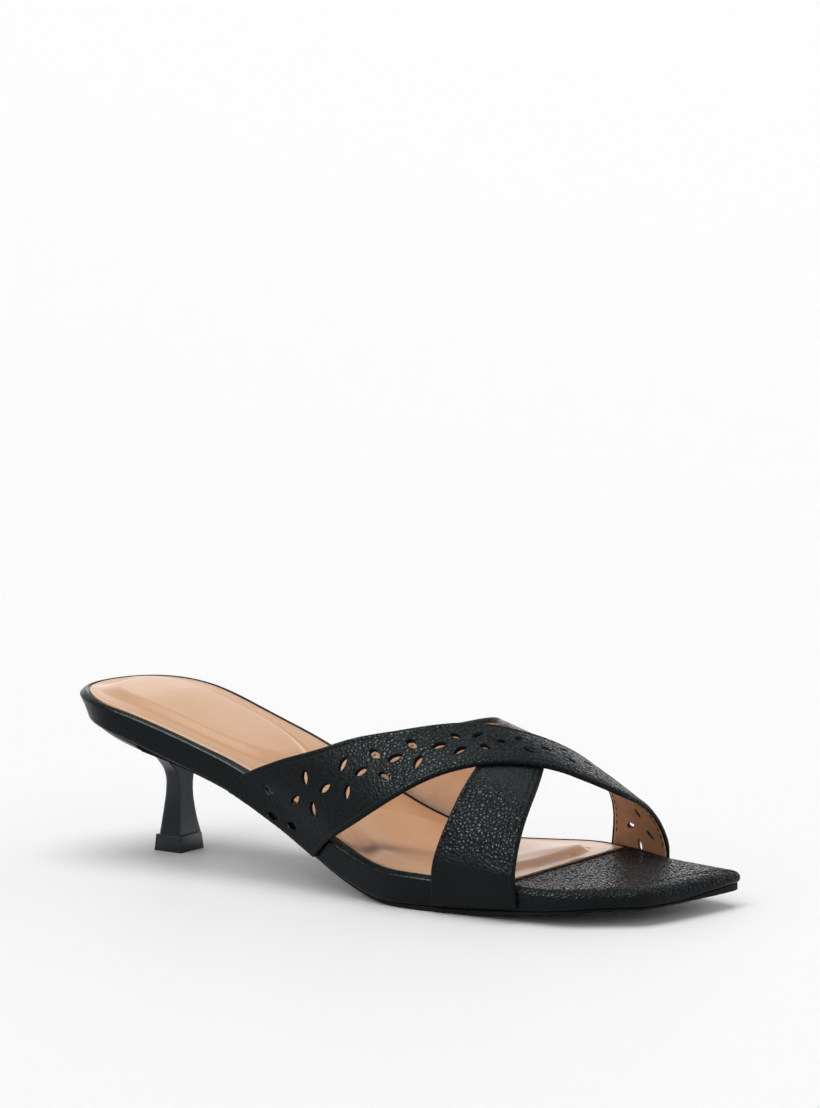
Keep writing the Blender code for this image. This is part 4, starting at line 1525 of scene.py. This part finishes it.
@dataclass
class StrapPattern:
    """Flat pattern of a strap, and how it lies on the last.

    The path runs from the outer lip under the footbed, round its edge, over the last and down
    to the inner lip. Out is the distance from the strap's inner face.
    """

    last: Last
    rows: Sequence[StrapEdges]
    thickness: float = 1.8 * MM
    lip: float = 7.0 * MM
    bend: float = 0.6 * MM
    lift: float = 0.0
    dip: float = 0.0
    lift_start: float = 0.02
    lift_reach: float = 0.26
    unrolled: float = 40.0 * MM
    lip_drop: float = 0.60 * MM
    skived: float = 0.60
    skived_reach: float = 9.0 * MM

    def __post_init__(self) -> None:
        """Work out the path's lengths and the edge curves."""
        self.bend_length = math.pi / 2 * (self.bend + self.thickness / 2)
        self.wall_length = self.last.seat_thickness - self.thickness - self.bend
        self.last_start = self.lip + self.bend_length + self.wall_length
        self.last_length = math.pi * self.unrolled
        self.path_length = 2 * self.last_start + self.last_length
        around = [row.around for row in self.rows]
        self.rear = SmoothCurve(around, [row.rear * self.last.length for row in self.rows])
        self.front = SmoothCurve(around, [row.front * self.last.length for row in self.rows])

    def around(self, path: np.ndarray) -> np.ndarray:
        """Return the share around the last of places on the path."""
        return (np.asarray(path, float) - self.last_start) / self.last_length

    def path_at(self, around: float) -> float:
        """Return the place on the path of a share around the last."""
        return self.last_start + around * self.last_length

    def x_at(self, path: np.ndarray, share: np.ndarray) -> np.ndarray:
        """Return the place along the foot of a share across the strap.

        Args:
            path: places on the path.
            share: shares across the strap.

        Returns:
            Places along the foot.
        """
        around = np.clip(self.around(path), self.rows[0].around, self.rows[-1].around)
        rear = self.rear(around)
        return rear + (self.front(around) - rear) * share

    def stand(self, around: np.ndarray) -> np.ndarray:
        """Return how far the strap stands off the last, at the crossing."""
        share = (np.minimum(around, 1 - around) - self.lift_start) / self.lift_reach
        return (self.lift - self.dip) * smoothstep(share)

    def lasted(self, x: np.ndarray, path: np.ndarray, out: np.ndarray) -> np.ndarray:
        """Place points of the pattern on the last.

        Args:
            x: places along the foot.
            path: places on the path.
            out: distances from the strap's inner face.

        Returns:
            Points in space.
        """
        x, path, out = np.broadcast_arrays(*(np.asarray(v, float) for v in (x, path, out)))
        outer = path < self.path_length / 2
        side = np.where(outer, Side.OUTER.value, Side.INNER.value)
        walk = np.minimum(path, self.path_length - path)
        full = smoothstep((walk - self.last_start + 2 * MM) / self.skived_reach)
        out = out * (self.skived + (1 - self.skived) * full)
        top = self.last.top(x)
        hinge_out = self.last.gap - self.bend
        hinge_up = self.last.bottom(x) + self.thickness + self.bend - self.lip_drop
        turn = np.clip((walk - self.lip) / self.bend_length, 0, 1) * math.pi / 2
        under = np.maximum(self.lip - walk, 0)
        climb = np.clip((walk - self.lip - self.bend_length) / self.wall_length, 0, 1)
        wall_y = hinge_out - under + (self.bend + out) * np.sin(turn)
        wall_z = hinge_up - (self.bend + out) * np.cos(turn) + climb * (top - hinge_up)
        around = np.clip(self.around(path), 0, 1)
        angle = around * math.pi
        stand = out + self.stand(around)
        power = 2 / self.last.fullness
        across = np.abs(np.cos(angle)) ** power
        height = np.maximum(np.sin(angle), 0) ** power
        half = np.where(outer, *(self.last.half_breadth(x, each) for each in Side))
        on_last = walk > self.last_start
        y = np.where(on_last, side * (half + self.last.gap + stand) * across, side * (half + wall_y))
        z = np.where(on_last, top + (self.last.instep(x) + stand) * height, wall_z)
        return np.stack([x, y, z], axis=-1)

    def directions(self, path: np.ndarray, share: np.ndarray) -> tuple[np.ndarray, ...]:
        """Return how the lasted surface moves for a step in x, in path and along the strap.

        Args:
            path: places on the path.
            share: shares across the strap.

        Returns:
            Arrays of three vectors for each place, the last of unit length.
        """
        nudge = 0.2 * MM
        out = self.thickness / 2
        x = self.x_at(path, share)
        per_x = (self.lasted(x + nudge, path, out) - self.lasted(x - nudge, path, out)) / (2 * nudge)
        per_path = (self.lasted(x, path + nudge, out) - self.lasted(x, path - nudge, out)) / (2 * nudge)
        ahead = (self.lasted(self.x_at(path + nudge, share), path + nudge, out)
                 - self.lasted(self.x_at(path - nudge, share), path - nudge, out))
        ahead /= np.linalg.norm(ahead, axis=-1, keepdims=True)
        return per_x, per_path, ahead

    def real_width(self, path: np.ndarray, share: float) -> np.ndarray:
        """Return the strap's width square to its edge, measured at a share across it.

        Args:
            path: places on the path.
            share: the share across the strap.

        Returns:
            Widths.
        """
        per_x, _, ahead = self.directions(path, share)
        across = per_x - ahead * (per_x * ahead).sum(axis=-1, keepdims=True)
        width = self.x_at(path, 1.0) - self.x_at(path, 0.0)
        return np.linalg.norm(across, axis=-1) * width

    def steps(self, along_last: int = 190) -> np.ndarray:
        """Return places on the path, close together round the footbed's edge.

        Args:
            along_last: steps over the last.

        Returns:
            Rising places.
        """
        lip = np.linspace(0, self.lip, 5)
        bend = self.lip + np.linspace(0, self.bend_length, 9)[1:]
        wall = self.lip + self.bend_length + np.linspace(0, self.wall_length, 7)[1:]
        last = self.last_start + np.linspace(0, self.last_length / 2, along_last // 2 + 1)[1:]
        half = np.concatenate([lip, bend, wall, last])
        return np.concatenate([half, self.path_length - half[-2::-1]])


@dataclass(frozen=True)
class EdgeForm:
    """Turned edge of a strap's leather: a rounded roll, a bead and the line pressed beside it."""

    roll: float = 0.85 * MM
    under_roll: float = 0.45 * MM
    bead: float = 0.07 * MM
    bead_width: float = 1.55 * MM
    line: float = 0.13 * MM
    line_at: float = 1.85 * MM
    line_width: float = 0.28 * MM
    turned: float = 0.95 * MM
    lining: float = 0.5 * MM

    def distances(self) -> np.ndarray:
        """Return distances from the edge at which the leather's section has points."""
        steps = (0, 0.05, 0.15, 0.3, 0.5, 0.7, 0.95, 1.05, 1.25, 1.45, 1.6, 1.73, 1.85, 1.97,
                 2.1, 2.3, 2.7)
        return np.array(steps) * MM

    def fall(self, distance: np.ndarray, radius: float) -> np.ndarray:
        """Return how far a rounded corner lies under the face."""
        short = np.clip(radius - distance, 0, radius)
        return radius - np.sqrt(radius ** 2 - short ** 2)

    def over(self, distance: np.ndarray) -> np.ndarray:
        """Return the outer face's height over the strap's plain face.

        Args:
            distance: distances from the edge.

        Returns:
            Heights.
        """
        bead = self.bead * (1 - smoothstep((distance - self.bead_width + 0.4 * MM) / (0.5 * MM)))
        line = self.line * np.exp(-((distance - self.line_at) / self.line_width) ** 2)
        return bead - line - self.fall(distance, self.roll)

    def under(self, distance: np.ndarray) -> np.ndarray:
        """Return the inner face's height, where the leather is turned in over the lining."""
        turned = 1 - smoothstep((distance - self.turned) / (0.1 * MM))
        return self.lining * (1 - 0.85 * turned) + self.fall(distance, self.under_roll) * turned


@dataclass
class Strap:
    """One strap of the upper: leather, lining and the stitches along the lining's edges."""

    name: str
    pattern: StrapPattern
    leaves: Sequence[Leaf] = ()
    form: EdgeForm = field(default_factory=EdgeForm)
    lining_inset: float = 1.05 * MM
    lining_lip: float = 0.06 * MM
    layer_gap: float = 0.02 * MM
    cut_width: float = 0.4 * MM
    leaf_length: float = 4.6 * MM
    leaf_width: float = 2.1 * MM
    leaf_pointedness: float = 0.40
    inner_shrink: float = 0.26
    shrink_from: float = 0.30
    shrink_reach: float = 0.06
    rim_flare: float = 1.22
    lining_flare: float = 1.30
    outer_flare: float = 2.2
    outer_to: float = 0.56
    rim_depth: float = 0.45 * MM
    middle_columns: int = 16
    stitch_length: float = 1.8 * MM
    stitch_pitch: float = 2.8 * MM
    stitch_thickness: float = 0.42 * MM
    stitch_inset: float = 2.0 * MM
    grain: Callable[[np.ndarray], np.ndarray] = field(default=lambda around: np.ones_like(around))

    def shares(self, path: np.ndarray, distances: np.ndarray) -> tuple[np.ndarray, np.ndarray]:
        """Return shares across the strap, and real distances from the nearer edge.

        Args:
            path: places on the path, one for each row.
            distances: distances from each edge at which a column runs.

        Returns:
            Two arrays of rows and columns.
        """
        rear_width = self.pattern.real_width(path, 0.0)[:, None]
        front_width = self.pattern.real_width(path, 1.0)[:, None]
        rear = distances[None] / rear_width
        front = 1 - distances[None, ::-1] / front_width
        blend = np.linspace(0, 1, self.middle_columns + 2)[None, 1:-1]
        middle = rear[:, -1:] + (front[:, :1] - rear[:, -1:]) * blend
        share = np.concatenate([rear, middle, front], axis=1)
        middle_distance = np.minimum((middle * rear_width), (1 - middle) * front_width)
        count = len(path)
        distance = np.concatenate([np.repeat(distances[None], count, 0), middle_distance,
                                   np.repeat(distances[None, ::-1], count, 0)], axis=1)
        return share, distance

    def slab(self, name: str, inset: float, under: Callable, over: Callable,
             distances: np.ndarray) -> bpy.types.Object:
        """Make a layer flat, from a grid that a Solidify modifier doubles.

        Args:
            name: name of the layer.
            inset: distance of the layer's edge from the strap's edge.
            under: its inner face's height, by distance from the layer's edge.
            over: its outer face's height, by distance from the layer's edge.
            distances: distances from the layer's edge at which a column runs.

        Returns:
            The flat layer.
        """
        path = self.pattern.steps()
        share, distance = self.shares(path, distances + inset)
        distance = distance - inset
        x = self.pattern.x_at(path[:, None], share)
        along = np.broadcast_to(path[:, None], x.shape)
        upper = np.stack([x, along, over(distance)], axis=-1)
        lower = np.stack([x, along, under(distance)], axis=-1)
        layer = sheet_of(name, upper)
        applied(layer, "SOLIDIFY", thickness=self.form.lining, offset=-1.0)
        set_points(layer, np.concatenate([upper.reshape(-1, 3), lower.reshape(-1, 3)]))
        return layer

    def leaf_rim(self, leaf: Leaf) -> np.ndarray:
        """Return a leaf's outline in the pattern, true to size on the last.

        Args:
            leaf: the leaf's place.

        Returns:
            Rows of x and path.
        """
        path = np.array(self.pattern.path_at(leaf.around))
        x = float(self.pattern.x_at(path, leaf.across))
        per_x, per_path, ahead = self.pattern.directions(path, leaf.across)
        across = per_x - ahead * (per_x @ ahead)
        across /= np.linalg.norm(across)
        shrunk = float(smoothstep((leaf.around - self.shrink_from) / self.shrink_reach))
        size = 1 - self.inner_shrink * shrunk
        turn = math.radians(leaf.turn)
        vein = ahead * math.cos(turn) + across * math.sin(turn)
        cross = across * math.cos(turn) - ahead * math.sin(turn)
        basis = np.column_stack([per_x, per_path])
        rim = []
        for angle in np.linspace(0, 2 * math.pi, LEAF_SIDES + 1)[:-1]:
            sine = math.sin(angle)
            aside = self.leaf_width / 2 * sine * abs(sine) ** self.leaf_pointedness
            spot = (vein * (self.leaf_length / 2 * math.cos(angle)) + cross * aside) * size
            move = np.linalg.lstsq(basis, spot, rcond=None)[0]
            rim.append((x + move[0], float(path) + move[1]))
        return np.array(rim)

    def punch_model(self) -> bpy.types.Object:
        """Make a punch from a cylinder: levels for its foot, its rim's start and end, and its top."""
        deselected()
        bpy.ops.mesh.primitive_cylinder_add(vertices=LEAF_SIDES, radius=1.0, depth=1.0)
        model = bpy.context.active_object
        bpy.ops.object.mode_set(mode="EDIT")
        bpy.ops.mesh.select_mode(type="FACE")
        bpy.ops.mesh.select_all(action="DESELECT")
        form = bmesh.from_edit_mesh(model.data)
        for face in form.faces:
            face.select_set(face.normal.z > 0.9)
        bmesh.update_edit_mesh(model.data)
        for _ in range(2):
            bpy.ops.mesh.extrude_region_move(TRANSFORM_OT_translate={"value": (0.0, 0.0, 1.0)})
        bpy.ops.object.mode_set(mode="OBJECT")
        return model

    def punched(self, layer: bpy.types.Object, scale: float = 1.0) -> None:
        """Cut the leaves out of a flat layer, each with a rim that opens outwards.

        Args:
            layer: the flat layer.
            scale: size of the holes against the leaves.
        """
        if not self.leaves:
            return
        model = self.punch_model()
        points = points_of(model)
        turn = np.arctan2(points[:, 1], points[:, 0])
        order = np.round(turn / (2 * math.pi) * LEAF_SIDES).astype(int) % LEAF_SIDES
        level = np.round(points[:, 2] + 0.5).astype(int)
        face = self.pattern.thickness
        height = np.array([-2.0 * MM, face - self.rim_depth, face + 0.02 * MM, 3.0 * MM])[level]
        flare = np.array([1.0, 1.0, self.rim_flare, self.rim_flare])[level][:, None]
        punches = []
        for leaf in self.leaves:
            rim = self.leaf_rim(leaf)[order]
            middle = rim.mean(axis=0)
            wide = 1 + (scale - 1) * (self.outer_flare if leaf.around < self.outer_to else 1.0)
            punch = model.copy()
            punch.data = model.data.copy()
            bpy.context.scene.collection.objects.link(punch)
            set_points(punch, np.column_stack([middle + (rim - middle) * flare * wide, height]))
            punches.append(punch)
        bpy.data.objects.remove(model)
        tool = closed_form("leaf_punch", punches)
        applied(layer, "BOOLEAN", operation="DIFFERENCE", solver="EXACT", object=tool)
        bpy.data.objects.remove(tool)

    def pulled_over(self, layer: bpy.types.Object) -> np.ndarray:
        """Split a flat layer into triangles and pull it over the last.

        Args:
            layer: the flat layer.

        Returns:
            Its flat points, as they were.
        """
        applied(layer, "TRIANGULATE", min_vertices=5)
        flat = points_of(layer)
        set_points(layer, self.pattern.lasted(flat[:, 0], flat[:, 1], flat[:, 2]))
        return flat

    def build_leather(self, shift: Vector, leather: bpy.types.Material) -> None:
        """Make the black outer layer.

        Args:
            shift: from the back of the seat to the frame.
            leather: its finish.
        """
        form, thickness = self.form, self.pattern.thickness
        layer = self.slab(self.name + "_leather", 0.0, form.under,
                          lambda distance: thickness + form.over(distance), form.distances())
        self.punched(layer)
        flat = self.pulled_over(layer)
        smooth(layer, 45.0)
        paint(layer, "grain", self.grain(self.pattern.around(flat[:, 1])))
        finished(layer, shift, leather, ["upper"])

    def build_lining(self, shift: Vector, lining: bpy.types.Material) -> None:
        """Make the tan inner layer, a little narrower than the leather.

        Args:
            shift: from the back of the seat to the frame.
            lining: its finish.
        """
        distances = np.array([0.0, 0.08, 0.35, 0.45, 1.0, 2.0]) * MM
        level = self.form.lining - self.layer_gap
        layer = self.slab(self.name + "_lining", self.lining_inset,
                          lambda distance: self.lining_lip * (distance < 0.05 * MM),
                          lambda distance: np.full_like(distance, level), distances)
        self.punched(layer, self.lining_flare)
        flat = self.pulled_over(layer)
        smooth(layer, 30.0)
        rear_x, front_x = self.pattern.x_at(flat[:, 1], 0.0), self.pattern.x_at(flat[:, 1], 1.0)
        share = (flat[:, 0] - rear_x) / (front_x - rear_x)
        rear = share * self.pattern.real_width(flat[:, 1], 0.0)
        front = (1 - share) * self.pattern.real_width(flat[:, 1], 1.0)
        near = np.minimum(rear, front) - self.lining_inset
        paint(layer, "cut", near < self.cut_width)
        finished(layer, shift, lining, ["upper"])

    def build_stitches(self, shift: Vector, thread: bpy.types.Material) -> None:
        """Lay one stitch after another along both edges of the lining.

        Args:
            shift: from the back of the seat to the frame.
            thread: its finish.
        """
        deselected()
        bpy.ops.mesh.primitive_uv_sphere_add(segments=8, ring_count=6, radius=0.5)
        model = bpy.context.active_object
        ball = points_of(model)
        faces = [tuple(polygon.vertices) for polygon in model.data.polygons]
        bpy.data.objects.remove(model)
        points, polygons = [], []
        size = np.array([self.stitch_length, self.stitch_thickness, self.stitch_thickness])
        pitch, reach = self.stitch_pitch, self.stitch_length / 2
        start, end = self.pattern.path_at(0), self.pattern.path_at(1)
        fine = np.linspace(start, end, 600)
        for share in (0.0, 1.0):
            inset = self.stitch_inset / self.pattern.real_width(fine, share)
            across = inset if share == 0.0 else 1 - inset
            line = self.pattern.lasted(self.pattern.x_at(fine, across), fine, 0.0)
            walked = np.concatenate([[0], np.cumsum(np.linalg.norm(np.diff(line, axis=0), axis=1))])
            for middle in np.arange(pitch, walked[-1] - pitch, pitch):
                ends = [np.array([np.interp(place, walked, line[:, axis]) for axis in range(3)])
                        for place in (middle - reach, middle + reach)]
                way = Vector(ends[1] - ends[0]).normalized()
                turn = np.array(way.to_track_quat("X", "Z").to_matrix())
                first = len(points) * len(ball)
                points.append((ball * size) @ turn.T + (ends[0] + ends[1]) / 2)
                polygons += [tuple(first + index for index in face) for face in faces]
        mesh = bpy.data.meshes.new(self.name + "_stitches")
        mesh.from_pydata(np.concatenate(points), [], polygons)
        piece = bpy.data.objects.new(self.name + "_stitches", mesh)
        bpy.context.scene.collection.objects.link(piece)
        smooth(piece, 60.0)
        finished(piece, shift, thread, [])

    def build(self, shift: Vector, leather: bpy.types.Material, lining: bpy.types.Material,
              thread: bpy.types.Material) -> None:
        """Make the strap's layers and stitches.

        Args:
            shift: from the back of the seat to the frame.
            leather: finish of the outer layer.
            lining: finish of the inner layer.
            thread: finish of the stitches.
        """
        self.build_leather(shift, leather)
        self.build_lining(shift, lining)
        self.build_stitches(shift, thread)


@dataclass
class Studio:
    """Camera, floor and soft light of the photograph."""

    shift: Vector
    stand: tuple = (1157.127 * MM, -1361.334 * MM, 347.766 * MM)
    azimuth: float = 37.0003
    down: float = 8.0637
    roll: float = -0.7625
    focal_pixels: float = 5399.91
    frame_pixels: float = 820.0
    sensor: float = 36.0
    floor_size: float = 60.0
    room: float = 0.80
    low_room: float = 0.55
    high_room: float = 0.12
    back_glow: float = 1.62

    def camera(self) -> None:
        """Set the camera where the photograph was taken."""
        azimuth, down, roll = (math.radians(v) for v in (self.azimuth, self.down, self.roll))
        forward = Vector((-math.sin(azimuth) * math.cos(down), math.cos(azimuth) * math.cos(down),
                          -math.sin(down)))
        level = Vector((math.cos(azimuth), math.sin(azimuth), 0.0))
        upright = level.cross(forward)
        right = math.cos(roll) * level + math.sin(roll) * upright
        up = -math.sin(roll) * level + math.cos(roll) * upright
        data = bpy.data.cameras.new("camera")
        data.sensor_fit = "HORIZONTAL"
        data.sensor_width = self.sensor
        data.lens = self.focal_pixels / self.frame_pixels * self.sensor
        data.clip_end = 100.0
        camera = bpy.data.objects.new("camera", data)
        turn = Matrix((right, up, -forward)).transposed().to_4x4()
        camera.matrix_world = Matrix.Translation(Vector(self.stand) + self.shift) @ turn
        bpy.context.scene.collection.objects.link(camera)
        bpy.context.scene.camera = camera

    def floor(self) -> None:
        """Lay the pale floor, which is also the background."""
        deselected()
        bpy.ops.mesh.primitive_plane_add(size=self.floor_size, location=(0, 0, 0))
        floor = bpy.context.active_object
        floor.name = "floor"
        tree = Tree("pale_floor")
        tree.set(Base_Color=(0.90, 0.90, 0.90, 1.0), Roughness=0.6, Specular_IOR_Level=0.1)
        floor.data.materials.append(tree.material)

    def sun(self, name: str, azimuth: float, height: float, angle: float, strength: float,
            glossy_only: bool = False) -> None:
        """Hang a soft, distant light.

        Args:
            name: name of the light.
            azimuth: degrees round from +X to where it stands.
            height: degrees over the floor.
            angle: degrees that it spans, which softens its shadows.
            strength: its strength.
            glossy_only: whether it only shows in reflections.
        """
        data = bpy.data.lights.new(name, "SUN")
        data.energy = strength
        data.angle = math.radians(angle)
        light = bpy.data.objects.new(name, data)
        light.visible_diffuse = not glossy_only
        turn, up = math.radians(azimuth), math.radians(height)
        stand = Vector((math.cos(turn) * math.cos(up), math.sin(turn) * math.cos(up), math.sin(up)))
        light.rotation_euler = (-stand).to_track_quat("-Z", "Y").to_euler()
        bpy.context.scene.collection.objects.link(light)

    def surround(self) -> None:
        """Surround the shoe with pale light, dimmer low down and overhead, and a glow behind."""
        world = bpy.data.worlds.new("surround")
        bpy.context.scene.world = world
        world.use_nodes = True
        nodes, links = world.node_tree.nodes, world.node_tree.links
        sky = nodes["Background"]
        way = nodes.new("ShaderNodeTexCoord")
        split = nodes.new("ShaderNodeSeparateXYZ")
        links.new(way.outputs["Generated"], split.inputs[0])

        def ramp(axis: str, start: float, stop: float, low: float, high: float) -> bpy.types.NodeSocket:
            """Return a value that goes from low to high along an axis of the surround.

            Args:
                axis: name of the axis.
                start: where the value is low.
                stop: where it is high.
                low: the low value.
                high: the high value.

            Returns:
                The value.
            """
            node = nodes.new("ShaderNodeMapRange")
            for number, value in enumerate((start, stop, low, high), 1):
                node.inputs[number].default_value = value
            links.new(split.outputs[axis], node.inputs[0])
            return node.outputs[0]

        def result(operation: str, first: bpy.types.NodeSocket,
                   second: bpy.types.NodeSocket) -> bpy.types.NodeSocket:
            """Return a sum or a product.

            Args:
                operation: ADD or MULTIPLY.
                first: the first value.
                second: the second value.

            Returns:
                The result.
            """
            node = nodes.new("ShaderNodeMath")
            node.operation = operation
            links.new(first, node.inputs[0])
            links.new(second, node.inputs[1])
            return node.outputs[0]

        room = result("MULTIPLY", ramp("Z", 0.02, 0.32, self.room * self.low_room, self.room),
                      ramp("Z", 0.55, 0.80, 1.0, self.high_room))
        glow = result("MULTIPLY", ramp("Y", 0.30, 0.80, 0.0, self.back_glow),
                      ramp("Z", 0.22, 0.42, 1.0, 0.0))
        links.new(result("ADD", room, glow), sky.inputs["Strength"])
        sky.inputs["Color"].default_value = (1.0, 1.0, 1.0, 1.0)

    def lights(self) -> None:
        """Light the shoe from above and in front, with a soft box that only reflections show."""
        self.sun("overhead", 118.0, 82.0, 44.0, 1.43)
        self.sun("front_box", -110.0, 60.0, 34.0, 0.50)
        self.sun("gloss_box", -108.0, 50.0, 30.0, 6.30, glossy_only=True)
        self.surround()

    def build(self) -> None:
        """Set up camera, floor and light."""
        self.camera()
        self.floor()
        self.lights()
        settings = bpy.context.scene.view_settings
        settings.view_transform = "Standard"
        settings.look = "None"


def strap_grain(around: np.ndarray) -> np.ndarray:
    """Grain of the perforated strap: stretched on the outer side, fuller on top."""
    return 0.22 + 0.60 * smoothstep((around - 0.10) / 0.16)


def plain_grain(around: np.ndarray) -> np.ndarray:
    """Grain of the plain strap: full half way up, stretched at the footbed and the crossing.

    Args:
        around: shares around the last.

    Returns:
        Shares of the grain.
    """
    rising = smoothstep((around - 0.02) / 0.10)
    falling = 1 - 0.75 * smoothstep((around - 0.24) / 0.10)
    return 0.15 + 0.85 * rising * falling


def main() -> None:
    """Build the shoe's pieces in order, then the studio."""
    logging.basicConfig(level=logging.INFO, format="%(message)s")
    last = Last()
    heel = Heel(last)
    low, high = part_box("heel_tip")
    middle = (low + high) / 2
    shift = Vector((middle.x - heel.neck_middle, middle.y, 0.0))
    leather = PebbledLeather().make()
    # painted shade: the lining in its default, darker colours, for the perforated strap's shaded inner
    # face
    lining = LiningLeather().make()
    # painted light: a lighter copy of the same lining for the plain strap, whose inner face is lit from
    # the front
    pale = LiningLeather("lit_lining_leather", (0.920, 0.640, 0.430), (0.820, 0.550, 0.350)).make()
    thread = WaxedThread().make()
    Footbed(last).build(shift, leather)
    Outsole(last).build(shift, BlackRubber().make())
    Sock(last).build(shift, SockLeather().make())
    heel.build_body(shift, Lacquer().make())
    heel.build_tip(shift, BlackRubber("top_piece_rubber", (0.007, 0.009, 0.012), 0.34, 0.3).make())
    plain = StrapPattern(last, PLAIN, dip=0.25 * MM)
    Strap("plain_strap", plain, grain=plain_grain).build(shift, leather, pale, thread)
    crossing = StrapPattern(last, PERFORATED, lift=1.6 * MM)
    Strap("perforated_strap", crossing, LEAVES, grain=strap_grain).build(shift, leather, lining, thread)
    Studio(shift).build()


if __name__ == "__main__":
    main()
